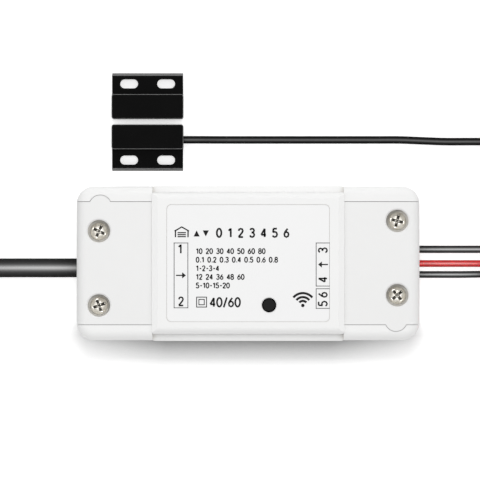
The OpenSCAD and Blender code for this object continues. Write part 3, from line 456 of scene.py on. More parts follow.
@dataclass(frozen=True)
class SolderMask(Finish):
    """Board lacquer over copper tracks."""

    track: Colour = (0.06, 0.3, 0.13)
    track_pitch: float = 3 * MM
    track_edge: float = 0.12
    track_blur: float = 0.06
    track_height: float = 0.035 * MM
    weave_size: float = 0.5 * MM

    def sockets(self, graph: Graph) -> dict[str, Any]:
        """Returns the shader's sockets."""
        cells = graph.add(
            "ShaderNodeTexVoronoi",
            {"feature": "DISTANCE_TO_EDGE", "distance": "EUCLIDEAN"},
            {"Vector": graph.place(), "Scale": 1 / self.track_pitch},
            "Distance",
        )
        tracks = 1 - cells.above(self.track_edge, self.track_blur)
        weave = graph.noise(self.weave_size, 1.0)
        return {
            "Base Color": graph.mix(tracks, self.colour, self.track),
            "Roughness": self.roughness + weave.sway(0.1),
            "Normal": graph.bump(tracks, self.track_height),
        }


@dataclass(frozen=True)
class Sintered(Finish):
    """Pressed and fired powder, such as ferrite: dull, pitted and mottled."""

    pit: float = 0.3 * MM
    pit_depth: float = 0.04 * MM

    def sockets(self, graph: Graph) -> dict[str, Any]:
        """Returns the shader's sockets."""
        pits = graph.noise(self.pit, 4.0)
        return {
            "Base Color": graph.tint(pits, self.colour, 0.7, 1.3),
            "Roughness": self.roughness + pits.sway(0.3),
            "Specular IOR Level": 0.3,
            "Normal": graph.bump(pits, self.pit_depth),
        }


@dataclass(frozen=True)
class ClearGlass(Finish):
    """Clear glass or resin with faint drawing lines."""

    line_size: float = 0.4 * MM
    line_stretch: Point = (0.1, 1.0, 1.0)
    line_depth: float = 0.01 * MM

    def sockets(self, graph: Graph) -> dict[str, Any]:
        """Returns the shader's sockets."""
        lines = graph.noise(self.line_size, 2.0, self.line_stretch)
        return {
            "Base Color": graph.tint(lines, self.colour, 0.94, 1.0),
            "Roughness": self.roughness + lines.sway(0.05),
            "Transmission Weight": 0.9,
            "IOR": 1.5,
            "Normal": graph.bump(lines, self.line_depth),
        }


SHELL_WHITE = ShellPlastic("shell_white", (0.9, 0.9, 0.895), 0.5, specular=0.2)
LABEL_WHITE = PrintFilm("label_film", (0.905, 0.905, 0.905), 0.42)
LABEL_INK = Ink("label_ink", (0.006, 0.006, 0.006), 0.5)
FRAME_INK = Ink("frame_ink", (0.15, 0.15, 0.155), 0.5, (0.2, 0.2, 0.2))
SCREW_NICKEL = PlatedMetal("screw_nickel", (0.93, 0.9, 0.83), 0.2, tarnish=(0.62, 0.56, 0.46))
SCREW_ZINC = PlatedMetal("screw_zinc", (0.66, 0.67, 0.68), 0.36)
BUTTON_BLACK = MouldedPlastic("button_black", (0.012, 0.012, 0.012), 0.45, specular=0.05)
SENSOR_BLACK = SlopeSheenPlastic("sensor_black", (0.002, 0.002, 0.002), 0.5, specular=0.03)
CABLE_BLACK = CableJacket("cable_black", (0.003, 0.003, 0.003), 0.52, dust=0.05)
CABLE_DULL = DullingJacket("cable_dull", (0.003, 0.003, 0.003), 0.52, dust=0.05)
CABLE_RED = CableJacket("cable_red", (0.62, 0.02, 0.02), 0.52, gloss=0.065, dust=0.04)
TIE_BLACK = MouldedPlastic("tie_black", (0.012, 0.012, 0.013), 0.5, grain=0.4 * MM, depth=0.03 * MM)
PLUG_BLACK = MouldedPlastic("plug_black", (0.014, 0.014, 0.014), 0.5, grain=0.25 * MM, depth=0.02 * MM)
PIN_NICKEL = PlatedMetal("pin_nickel", (0.72, 0.71, 0.68), 0.24)
TINNED_COPPER = PlatedMetal("tinned_copper", (0.74, 0.73, 0.71), 0.32, tarnish=(0.55, 0.33, 0.2))
BOARD_GREEN = SolderMask("board_green", (0.03, 0.17, 0.07), 0.3)
RADIO_BOARD = SolderMask("radio_board", (0.02, 0.04, 0.12), 0.3, track=(0.04, 0.08, 0.22))
TERMINAL_GREEN = MouldedPlastic("terminal_green", (0.07, 0.33, 0.17), 0.4)
RELAY_BLUE = MouldedPlastic("relay_blue", (0.05, 0.17, 0.45), 0.35)
FERRITE = Sintered("ferrite", (0.09, 0.09, 0.1), 0.7)
WINDING_TAPE = PrintFilm("winding_tape", (0.74, 0.6, 0.16), 0.4)
CAPACITOR_SLEEVE = PrintFilm("capacitor_sleeve", (0.02, 0.025, 0.06), 0.3)
FUSE_GREEN = Sintered("fuse_green", (0.2, 0.36, 0.26), 0.5)
CHIP_BLACK = Sintered("chip_black", (0.02, 0.02, 0.02), 0.55, pit=0.1 * MM)
SHIELD_TIN = PlatedMetal("shield_tin", (0.7, 0.7, 0.69), 0.34)
LED_CLEAR = ClearGlass("led_clear", (0.9, 0.95, 0.95), 0.1)
DOME_SPRING = PlatedMetal("dome_spring", (0.72, 0.66, 0.5), 0.28)
CORE_BROWN = CableJacket("core_brown", (0.16, 0.06, 0.025), 0.4)
CORE_BLUE = CableJacket("core_blue", (0.03, 0.16, 0.45), 0.4)
CORE_GREY = CableJacket("core_grey", (0.3, 0.3, 0.3), 0.4)
RESIN_GREY = Sintered("resin_grey", (0.045, 0.045, 0.05), 0.35, pit=1.2 * MM)
REED_GLASS = ClearGlass("reed_glass", (0.75, 0.92, 0.82), 0.05)
REED_METAL = PlatedMetal("reed_metal", (0.8, 0.7, 0.42), 0.25)
MAGNET_NICKEL = PlatedMetal("magnet_nickel", (0.7, 0.7, 0.7), 0.22)


class Edge(Enum):
    """How far the edges of a CAD piece are broken, in metres."""

    NONE = 0.0
    CRISP = 0.08 * MM
    MOULDED = 0.18 * MM
    SOFT = 0.3 * MM


WELD_GAP = 1e-6
FLAT_ANGLE = math.radians(0.4)
EDGE_ANGLE = math.radians(28)
EDGE_STEPS = 3


def add_object(name: str, data: bpy.types.ID) -> bpy.types.Object:
    """Adds an object with the given data to the scene."""
    added = bpy.data.objects.new(name, data)
    bpy.context.scene.collection.objects.link(added)
    return added


def dress(node: str, finish: Finish, edge: Edge = Edge.NONE) -> bpy.types.Object:
    """Gives a CAD node its finish and breaks its edges.

    Args:
        node: Name of the CAD node.
        finish: Finish of its whole surface.
        edge: How far its edges are broken.

    Returns:
        The node's object.
    """
    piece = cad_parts[node]
    piece.data.materials.clear()
    piece.data.materials.append(finish.material())
    if edge is not Edge.NONE:
        weld = piece.modifiers.new("join_faces", "WELD")
        weld.merge_threshold = WELD_GAP
        flat = piece.modifiers.new("flat_faces", "DECIMATE")
        flat.decimate_type = "DISSOLVE"
        flat.angle_limit = FLAT_ANGLE
        bevel = piece.modifiers.new("broken_edges", "BEVEL")
        bevel.width = edge.value
        bevel.segments = EDGE_STEPS
        bevel.limit_method = "ANGLE"
        bevel.angle_limit = EDGE_ANGLE
        bevel.use_clamp_overlap = False
        bevel.harden_normals = True
    return piece


def smooth_line(points: Sequence[Vector], steps: int) -> list[Vector]:
    """Curve through the points with an even change of direction.

    Args:
        points: Points that the curve goes through.
        steps: Number of pieces between two points.

    Returns:
        Points along the curve.
    """
    ends = [2 * points[0] - points[1], *points, 2 * points[-1] - points[-2]]
    line = []
    for a, b, c, d in zip(ends, ends[1:], ends[2:], ends[3:]):
        for i in range(steps):
            t = i / steps
            bend = (2 * a - 5 * b + 4 * c - d) * t**2 + (3 * b - a - 3 * c + d) * t**3
            line.append(0.5 * (2 * b + (c - a) * t + bend))
    return [*line, points[-1]]


def line_length(line: Sequence[Vector]) -> float:
    """Length of a line through points."""
    return sum((b - a).length for a, b in zip(line, line[1:]))


@dataclass(frozen=True)
class Coil:
    """Clockwise coil whose spiral runs in and out, and climbs a layer where it turns round."""

    centre: Flat
    radius: float
    pitch: float
    rise: float
    turns: float
    total: float
    start: float
    height: float
    points_a_turn: int = 24
    climb: float = 0.5

    def _layer(self, turn: float) -> float:
        """Layer after a number of turns, with an even climb over part of a turn."""
        leg = self.turns + self.climb
        whole = math.floor(turn / leg)
        part = min(1.0, max(0.0, (turn - whole * leg - self.turns) / self.climb))
        return whole + part * part * (3 - 2 * part)

    def _reach(self, turn: float) -> float:
        """Distance from the middle after a number of turns."""
        leg, lead = self.turns + self.climb, self.climb / 2
        along = (turn + lead) % (2 * leg)
        return self.radius - self.pitch * ((along if along < leg else 2 * leg - along) - lead)

    def points(self) -> list[Vector]:
        """Returns the points of the coil's middle line."""
        count = round(self.total * self.points_a_turn)
        line = []
        for i in range(count + 1):
            turn = self.total * i / count
            angle = math.radians(self.start - 360 * turn)
            reach = self._reach(turn)
            x = self.centre[0] + reach * math.cos(angle)
            y = self.centre[1] + reach * math.sin(angle)
            line.append(Vector((x, y, self.height + self.rise * self._layer(turn))))
        return line


def route(points: Iterable[Point]) -> list[Vector]:
    """Points of a route, given in millimetres, as vectors in metres."""
    return [Vector(p) * MM for p in points]


@dataclass
class Lead:
    """One round lead on one smooth curve, with the CAD solids that it stands for."""

    name: str
    diameter: float
    line: list[Vector]
    finish: Finish
    nodes: tuple[str, ...]
    slot: str = "cable_black"
    round_sides: int = 5
    steps: int = 4

    def build(self) -> bpy.types.Object:
        """Returns the lead as a curve of one open spline."""
        curve = bpy.data.curves.new(self.name, "CURVE")
        curve.dimensions = "3D"
        curve.bevel_depth = self.diameter / 2
        curve.bevel_resolution = self.round_sides
        curve.use_fill_caps = True
        points = smooth_line(self.line, self.steps)
        spline = curve.splines.new("POLY")
        spline.points.add(len(points) - 1)
        for target, point in zip(spline.points, points):
            target.co = (*point, 1.0)
        spline.use_smooth = True
        curve.materials.append(self.finish.material())
        piece = add_object(self.name, curve)
        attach(piece, BODY)
        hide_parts(*self.nodes)
        return piece

    def length(self) -> float:
        """Length of the lead along its middle."""
        return line_length(smooth_line(self.line, self.steps))


@dataclass
class MainsLead:
    """Mains lead from the input end, put away in a coil, and its flat plug."""

    diameter: float = 5.0 * MM
    exit: Point = (-0.045, -0.00115, 0.009)
    way_out: Sequence[Point] = (
        (-38, -1.15, 9), (-42, -1.15, 9), (-46, -1.15, 9), (-50, -1.15, 9), (-56, -1.15, 8.883),
        (-62, -1.15, 8.532), (-68, -1.269, 7.83), (-75, -2.335, 6.543), (-83, -4.468, 4.905),
        (-92, -7.431, 3.618), (-101, -10.334, 3.179), (-109, -12.23, 3.15), (-115, -12.941, 3.15),
        (-120, -13, 3.15),
    )
    coil: Coil = Coil((-125 * MM, 21 * MM), 34 * MM, 5.55 * MM, 5.55 * MM, 2.25, 5.5, -90, 3.15 * MM)
    way_to_plug: Sequence[Point] = (
        (-120, 55, 14.25), (-117, 55, 14.25), (-109.3, 53.5, 15), (-102.9, 49.1, 16.4), (-98.5, 42.7, 17.7),
        (-97, 35.5, 18.2), (-97, 33, 18.2),
    )

    def build(self) -> Pieces:
        """Yields the lead and the pieces on it."""
        plug = [
            dress("plug_body", PLUG_BLACK, Edge.SOFT),
            dress("plug_relief", PLUG_BLACK, Edge.MOULDED),
            dress("plug_sleeves", PLUG_BLACK),
            dress("plug_pins", PIN_NICKEL),
            dress("mains_tie", TIE_BLACK, Edge.CRISP),
        ]
        line = route(self.way_out) + self.coil.points() + route(self.way_to_plug)
        solids = ("mains_lead", "mains_coil", "mains_tail")
        lead = Lead("mains_flex", self.diameter, line, CABLE_BLACK, solids)
        piece = lead.build()
        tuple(self.exit)
        round(lead.length(), 2)
        yield piece
        yield from plug


@dataclass
class SensorCable:
    """Cable from the door sensor, put away in a coil, that comes back into the box."""

    diameter: float = 2.0 * MM
    exit: Point = (-0.0171, 0.0328, 0.0026)
    way_out: Sequence[Point] = (
        (-18.2, 32.8, 2.6), (-16.1, 32.8, 2.6), (-13.1, 32.8, 2.4), (-10.1, 32.8, 1.9), (-7.1, 32.8, 1.4),
        (-4.1, 32.8, 1.1), (-0.1, 32.8, 1), (4.9, 32.8, 1), (9.9, 32.8, 1), (15.9, 32.8, 1), (21.9, 32.8, 1),
        (27.9, 32.8, 1), (33.9, 32.8, 1), (40, 32.8, 1), (46, 32.575, 1), (52, 32.35, 1), (58, 32.35, 1),
        (64, 32.35, 1.05), (70, 32.35, 1.4), (75, 32.35, 1.65), (78, 32.35, 1.65),
    )
    coil: Coil = Coil((80 * MM, 18.05 * MM), 14.3 * MM, 2.55 * MM, 2.55 * MM, 3.5, 15.5, 90, 1.65 * MM)
    way_back: Sequence[Point] = (
        (78, 3.75, 9.3), (76, 3.75, 9.3), (70, 3.75, 9.24), (63, 3.75, 9.15), (56, 3.75, 9.06), (50, 3.75, 9),
        (46, 3.75, 9), (42, 3.75, 9), (38, 3.75, 9),
    )

    def build(self) -> Pieces:
        """Yields the cable and its tie."""
        tie = dress("sensor_tie", TIE_BLACK, Edge.CRISP)
        line = route(self.way_out) + self.coil.points() + route(self.way_back)
        solids = ("sensor_lead", "sensor_coil", "sensor_return")
        lead = Lead("sensor_flex", self.diameter, line, CABLE_DULL, solids)
        piece = lead.build()
        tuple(self.exit)
        round(lead.length(), 2)
        yield piece
        yield tie


@dataclass
class SwitchLeads:
    """Red and black switch leads, wound side by side, with stripped ends."""

    diameter: float = 1.8 * MM
    red_exit: Point = (0.045, 0.0, 0.009)
    black_exit: Point = (0.045, -0.0029, 0.009)
    red_way: Sequence[Point] = (
        (30.5, -1.75, 10.8), (33.5, -1.75, 10.8), (35.5, -1.225, 10.2), (37.3, -0.315, 9.3), (39, 0, 9),
        (42, 0, 9), (46, 0, 9), (51, 0, 9), (56, 0, 8.851), (60, 0, 8.255), (63, 0, 7.212), (66, 0, 5.722),
        (69, 0, 4.083), (72, 0, 2.593), (75, 0, 1.699), (77.7, 0, 1.55),
    )
    black_way: Sequence[Point] = (
        (30.5, -5.25, 10.8), (33.5, -5.25, 10.8), (35.3, -4.545, 10.2), (37.1, -3.323, 9.3), (39, -2.9, 9),
        (42, -2.9, 9), (46, -2.9, 9), (51, -2.9, 9), (56, -2.9, 8.851), (60, -2.845, 8.255),
        (63, -2.763, 7.212), (66, -2.625, 5.722), (69, -2.488, 4.083), (72, -2.378, 2.593), (75, -2.35, 1.699),
        (77.7, -2.35, 1.55),
    )
    red_coil: Coil = Coil((79.5 * MM, -14.6 * MM), 14.6 * MM, 4.7 * MM, 2.35 * MM, 1.5, 3.5, 90, 1.55 * MM)
    black_coil: Coil = Coil((79.5 * MM, -14.6 * MM), 12.25 * MM, 4.7 * MM, 2.35 * MM, 1.5, 3.5, 90, 1.55 * MM)

    def build(self) -> Pieces:
        """Yields the two leads, their tips and their tie."""
        tie = dress("wire_tie", TIE_BLACK, Edge.CRISP)
        leads = (
            ("red", self.red_way, self.red_coil, self.red_exit, CABLE_RED, [tie]),
            ("black", self.black_way, self.black_coil, self.black_exit, CABLE_BLACK, []),
        )
        for name, way, coil, start, finish, extra in leads:
            tip = dress(f"{name}_tip", TINNED_COPPER)
            loops = coil.points()
            ending = loops[-1] + Vector((-self.diameter, 0.0, 0.0))
            line = route(way) + loops + [ending]
            solids = (f"{name}_wire", f"{name}_coil")
            lead = Lead(f"{name}_flex", self.diameter, line, finish, solids, f"cable_{name}")
            piece = lead.build()
            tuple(start)
            round(lead.length(), 2)
            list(extra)
            yield piece
            yield tip
        yield tie


@dataclass
class Housing:
    """Base, middle cover and the two terminal covers."""

    shells: tuple[str, ...] = ("base_shell", "top_cover", "input_cover", "output_cover")

    def build(self) -> Pieces:
        """Yields the white shells."""
        for node in self.shells:
            yield dress(node, SHELL_WHITE)


def ring(centre: Flat, radius: float, low: float = 0.0, high: float = 360.0, count: int = 20) -> list[Flat]:
    """Points on an arc about a centre, between two angles in degrees, in a number of pieces."""
    turns = [math.radians(low + (high - low) * i / count) for i in range(count + 1)]
    return [(centre[0] + radius * math.cos(t), centre[1] + radius * math.sin(t)) for t in turns]


def oval(centre: Flat, half: Flat, count: int = 20) -> list[Flat]:
    """Points on an upright oval, from its middle and half its size each way."""
    return [(centre[0] + half[0] * x, centre[1] + half[1] * y) for x, y in ring((0.0, 0.0), 1.0, count=count)]


def ribbon(line: Sequence[Flat], width: float) -> Shapes:
    """Yields the four-sided pieces of a stroke of even width along a line."""
    sides = []
    for i, (x, y) in enumerate(line):
        (x0, y0), (x1, y1) = line[max(i - 1, 0)], line[min(i + 1, len(line) - 1)]
        scale = width / 2 / math.hypot(x1 - x0, y1 - y0)
        along = ((x1 - x0) * scale, (y1 - y0) * scale)
        sides.append(((x - along[1], y + along[0]), (x + along[1], y - along[0])))
    for first, second in zip(sides, sides[1:]):
        yield [first[0], first[1], second[1], second[0]]


@dataclass(frozen=True)
class Glyph:
    """One figure of the print as strokes, one unit high, with the room that it takes."""

    strokes: Sequence[Sequence[Flat]]
    room: float = 0.76


FIVE_BOWL = (
    (0.04, 0.56), (0.24, 0.63), (0.44, 0.55), (0.53, 0.32), (0.44, 0.08), (0.25, 0.0), (0.08, 0.06),
    (0.0, 0.19),
)
SIX_BOWL = (
    (0.42, 1.0), (0.14, 0.64), (0.02, 0.36), (0.07, 0.11), (0.27, 0.0), (0.47, 0.1), (0.53, 0.31),
    (0.46, 0.52), (0.28, 0.61), (0.09, 0.5),
)
GLYPHS = {
    "0": Glyph([oval((0.27, 0.5), (0.27, 0.5))]),
    "1": Glyph([[(0.04, 0.76), (0.3, 1.0)], [(0.3, 1.04), (0.3, 0.0)]], 0.62),
    "2": Glyph([
        [(0.02, 0.74), (0.09, 0.93), (0.27, 1.0), (0.45, 0.93), (0.52, 0.74), (0.43, 0.53), (0.02, 0.02)],
        [(0.0, 0.0), (0.55, 0.0)],
    ]),
    "3": Glyph([
        [(0.03, 0.85), (0.13, 0.97), (0.28, 1.0), (0.44, 0.94), (0.5, 0.77), (0.42, 0.6), (0.2, 0.54)],
        [(0.2, 0.54), (0.44, 0.48), (0.53, 0.27), (0.45, 0.07), (0.27, 0.0), (0.1, 0.05), (0.0, 0.2)],
    ]),
    "4": Glyph([[(0.4, 0.0), (0.4, 1.0)], [(0.4, 1.0), (0.0, 0.27)], [(0.0, 0.27), (0.56, 0.27)]]),
    "5": Glyph([[(0.5, 1.0), (0.07, 1.0)], [(0.08, 1.0), (0.05, 0.54)], FIVE_BOWL]),
    "6": Glyph([SIX_BOWL]),
    "8": Glyph([oval((0.27, 0.77), (0.22, 0.23), 14), oval((0.27, 0.27), (0.27, 0.27), 14)]),
    "-": Glyph([[(0.06, 0.46), (0.4, 0.46)]], 0.62),
    "/": Glyph([[(0.0, -0.08), (0.36, 1.05)]], 0.56),
    ".": Glyph([[(0.06, 0.05), (0.2, 0.05)]], 0.36),
    " ": Glyph([], 0.6),
}


@dataclass(frozen=True)
class Row:
    """A row of figures from a place on the panel, in millimetres, turned by degrees."""

    text: str
    start: Flat
    height: float
    turn: float = 0.0
    weight: float = 0.19

    def shapes(self) -> Shapes:
        """Yields the flat shapes of the row's strokes."""
        cos, sin = math.cos(math.radians(self.turn)), math.sin(math.radians(self.turn))
        x0, y0 = self.start
        reach = 0.0
        for letter in self.text:
            glyph = GLYPHS[letter]
            for stroke in glyph.strokes:
                line = [((reach + x) * self.height, y * self.height) for x, y in stroke]
                for shape in ribbon(line, self.weight * self.height):
                    yield [(x0 + x * cos - y * sin, y0 + x * sin + y * cos) for x, y in shape]
            reach += glyph.room


@dataclass
class FacePanel:
    """Panel on the middle cover with generic print: frames, figures, arrows and plain signs."""

    top: float = 23.9 * MM
    ink_height: float = 0.02 * MM
    ink_depth: float = 0.03 * MM
    frame_stroke: float = 0.2
    frames: Sequence[tuple[float, float, float, float]] = (
        (-19.4, -15.8, -11.7, 5.3), (17.85, 21.45, -6.0, 5.3), (17.85, 21.45, -11.85, -6.7),
    )
    rows: Sequence[Row] = (
        Row("1", (-18.3, 2.6), 2.2), Row("2", (-18.2, -11.1), 2.2), Row("3", (20.7, 2.8), 2.2, 90),
        Row("4", (20.7, -4.9), 2.2, 90), Row("5", (20.7, -11.2), 2.2, 90), Row("6", (20.7, -8.9), 2.2, 90),
        Row("0 1 2 3 4 5 6", (-8.2, 6.85), 2.2, weight=0.22), Row("40/60", (-9.9, -11.4), 2.3, weight=0.2),
    )
    lines: Sequence[str] = (
        "10 20 30 40 50 60 80", "0.1 0.2 0.3 0.4 0.5 0.6 0.8", "1-2-3-4", "12 24 36 48 60", "5-10-15-20",
    )
    line_start: Flat = (-13.6, 2.5)
    line_pitch: float = 2.25
    line_height: float = 1.3
    line_weight: float = 0.23
    radio_place: Flat = (14.35, -11.1)
    radio_dot: float = 0.45
    radio_rings: Sequence[float] = (1.2, 2.2, 3.25)
    radio_stroke: float = 0.6
    radio_half_angle: float = 50.0
    arrows: Sequence[tuple[float, float, int]] = ((-17.6, -3.2, 1), (19.65, -0.35, -1))
    arrow_half: float = 1.3
    arrow_shaft: float = 0.4
    arrow_stroke: float = 0.32
    arrow_neck: float = 0.3
    arrow_head: float = 0.8
    squares_place: Flat = (-12.2, -10.2)
    squares_half: Flat = (1.3, 0.7)
    squares_stroke: float = 0.22
    garage_place: Flat = (-19.3, 6.9)
    garage_strokes: Sequence[tuple[float, Sequence[Flat]]] = (
        (0.36, ((0.0, 1.5), (1.9, 2.6), (3.8, 1.5))), (0.34, ((0.25, 1.5), (0.25, -0.1))),
        (0.34, ((3.55, 1.5), (3.55, -0.1))), (0.3, ((0.8, 0.06), (3.0, 0.06))),
        (0.3, ((0.8, 0.58), (3.0, 0.58))), (0.3, ((0.8, 1.1), (3.0, 1.1))),
    )
    garage_points: Sequence[Sequence[Flat]] = (
        ((5.0, 0.1), (6.6, 0.1), (5.8, 1.7)), ((7.4, 1.7), (9.0, 1.7), (8.2, 0.1)),
    )

    def build(self) -> Pieces:
        """Yields the panel and its print."""
        yield dress("face_label", LABEL_WHITE)
        yield self._print("print_frames", FRAME_INK, self._frames())
        yield self._print("print_signs", LABEL_INK, self._signs())
        yield self._print("print_figures", LABEL_INK, self._figures())

    def _figures(self) -> Shapes:
        """Yields the strokes of every row of figures."""
        x, y = self.line_start
        small = (
            Row(text, (x, y - i * self.line_pitch), self.line_height, weight=self.line_weight)
            for i, text in enumerate(self.lines)
        )
        for row in (*self.rows, *small):
            yield from row.shapes()

    @staticmethod
    def _box(x0: float, x1: float, y0: float, y1: float, stroke: float) -> Shapes:
        """Yields the four strips of a rectangle's outline."""
        w = stroke / 2
        for a, b, c, d in ((x0, x1, y0, y0), (x0, x1, y1, y1), (x0, x0, y0, y1), (x1, x1, y0, y1)):
            yield [(a - w, c - w), (b + w, c - w), (b + w, d + w), (a - w, d + w)]

    def _frames(self) -> Shapes:
        """Yields the strips of the frames."""
        for frame_box in self.frames:
            yield from self._box(*frame_box, self.frame_stroke)

    def _signs(self) -> Shapes:
        """Yields the radio sign, the arrows, the garage sign and the double square."""
        yield ring(self.radio_place, self.radio_dot)[:-1]
        for radius in self.radio_rings:
            sweep = ring(self.radio_place, radius, 90 - self.radio_half_angle, 90 + self.radio_half_angle)
            yield from ribbon(sweep, self.radio_stroke)
        for arrow in self.arrows:
            yield from self._arrow(*arrow)
        yield from self._garage()
        x, y = self.squares_place
        for half in self.squares_half:
            yield from self._box(x - half, x + half, y - half, y + half, self.squares_stroke)

    def _garage(self) -> Shapes:
        """Yields a garage with its door's slats, and an arrow up and one down."""
        x, y = self.garage_place
        for width, stroke in self.garage_strokes:
            yield from ribbon([(x + dx, y + dy) for dx, dy in stroke], width)
        for point in self.garage_points:
            yield [(x + dx, y + dy) for dx, dy in point]

    def _arrow(self, x: float, y: float, way: int) -> Shapes:
        """Yields an arrow along X, to the right for 1 and to the left for -1."""
        half, neck, head = way * self.arrow_half, way * self.arrow_neck, self.arrow_head
        yield from ribbon([(x - half, y), (x + way * self.arrow_shaft, y)], self.arrow_stroke)
        yield [(x + neck, y - head), (x + half, y), (x + neck, y + head)]

    def _print(self, name: str, ink: Finish, shapes: Iterable[list[Flat]]) -> bpy.types.Object:
        """Makes one mesh of flat printed shapes, as thick as its ink."""
        form = bmesh.new()
        level = self.top + self.ink_height
        for shape in shapes:
            face = form.faces.new([form.verts.new((x * MM, y * MM, level)) for x, y in shape])
            face.normal_update()
            if face.normal.z < 0:
                face.normal_flip()
        mesh = bpy.data.meshes.new(name)
        form.to_mesh(mesh)
        form.free()
        mesh.materials.append(ink.material())
        piece = add_object(name, mesh)
        thick = piece.modifiers.new("ink", "SOLIDIFY")
        thick.thickness = self.ink_depth
        thick.offset = -1
        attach(piece, BODY)
        return piece


@dataclass
class Fasteners:
    """Screws of the covers, the board and the terminals."""

    finishes: dict[str, Finish] = field(
        default_factory=lambda: {
            "cover_screws": SCREW_NICKEL, "board_screws": SCREW_ZINC, "terminal_screws": SCREW_ZINC,
        }
    )

    def build(self) -> Pieces:
        """Yields the screws."""
        for node, finish in self.finishes.items():
            yield dress(node, finish, Edge.CRISP)


@dataclass
class PushButton:
    """Button in the middle cover and the switch under it."""

    dome_foot: Point = (5.5 * MM, -11.0 * MM, 8.5 * MM)
    dome_keep: float = 0.7

    def build(self) -> Pieces:
        """Yields the button, the switch and its dome."""
        yield dress("button_plunger", BUTTON_BLACK)
        yield dress("switch_body", CHIP_BLACK)
        yield self._dome()

    def _dome(self) -> bpy.types.Object:
        """Makes a copy of the spring dome with a mesh of its own, in place of the CAD solid."""
        solid = dress("switch_dome", DOME_SPRING)
        dome = add_object("dome_sheet", solid.data.copy())
        dome.matrix_world = solid.matrix_world
        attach(dome, BODY)
        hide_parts("switch_dome")
        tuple(self.dome_foot)
        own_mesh(dome)
        return dome


@dataclass
class Electronics:
    """Board, what stands on it, and the wire ends in its terminals."""

    finishes: dict[str, Finish] = field(
        default_factory=lambda: {
            "circuit_board": BOARD_GREEN, "input_terminal": TERMINAL_GREEN, "output_terminal": TERMINAL_GREEN,
            "sensor_terminal": TERMINAL_GREEN, "relay": RELAY_BLUE, "transformer_core": FERRITE,
            "transformer_bobbin": WINDING_TAPE, "input_capacitor": CAPACITOR_SLEEVE,
            "output_capacitor": CAPACITOR_SLEEVE, "fuse_resistor": FUSE_GREEN, "varistor": RELAY_BLUE,
            "choke": FERRITE, "rectifier": CHIP_BLACK, "radio_module": RADIO_BOARD, "radio_shield": SHIELD_TIN,
            "status_led": LED_CLEAR, "live_core": CORE_BROWN, "neutral_core": CORE_BLUE,
            "sensor_cores": CORE_GREY,
        }
    )

    def build(self) -> Pieces:
        """Yields the board and its pieces."""
        for node, finish in self.finishes.items():
            yield dress(node, finish)


@dataclass
class DoorSensor:
    """Reed sensor and its magnet, each in a flanged housing filled with resin."""

    housings: tuple[str, ...] = ("reed_housing", "magnet_housing")
    insides: dict[str, Finish] = field(
        default_factory=lambda: {
            "reed_potting": RESIN_GREY, "reed_capsule": REED_GLASS, "reed_blades": REED_METAL,
            "magnet_potting": RESIN_GREY, "magnet_bar": MAGNET_NICKEL,
        }
    )

    def build(self) -> Pieces:
        """Yields the housings and what they hold."""
        for node in self.housings:
            yield dress(node, SENSOR_BLACK, Edge.CRISP)
        for node, finish in self.insides.items():
            yield dress(node, finish)


@dataclass(frozen=True)
class Lamp:
    """Rectangular soft lamp that points at the box."""

    name: str
    place: Point
    size: Flat
    power: float
    gloss_only: bool = False
    aim: Point = (0.0, 0.0, 0.01)

    def build(self, pieces: Sequence[bpy.types.Object] = (), link: str = "INCLUDE") -> None:
        """Adds the lamp to the scene.

        Args:
            pieces: The pieces that it is linked to, or none to light all of them.
            link: INCLUDE to light those pieces alone, EXCLUDE to light all the others.
        """
        light = bpy.data.lights.new(self.name, "AREA")
        light.shape = "RECTANGLE"
        light.energy = self.power
        light.size, light.size_y = self.size
        lamp = add_object(self.name, light)
        lamp.location = self.place
        way = Vector(self.aim) - Vector(self.place)
        lamp.rotation_euler = way.to_track_quat("-Z", "Y").to_euler()
        lamp.visible_diffuse = not self.gloss_only
        if pieces:
            linked = bpy.data.collections.new(f"{self.name}_links")
            for piece in pieces:
                linked.objects.link(piece)
            for entry in linked.collection_objects:
                entry.light_linking.link_state = link
            lamp.light_linking.receiver_collection = linked


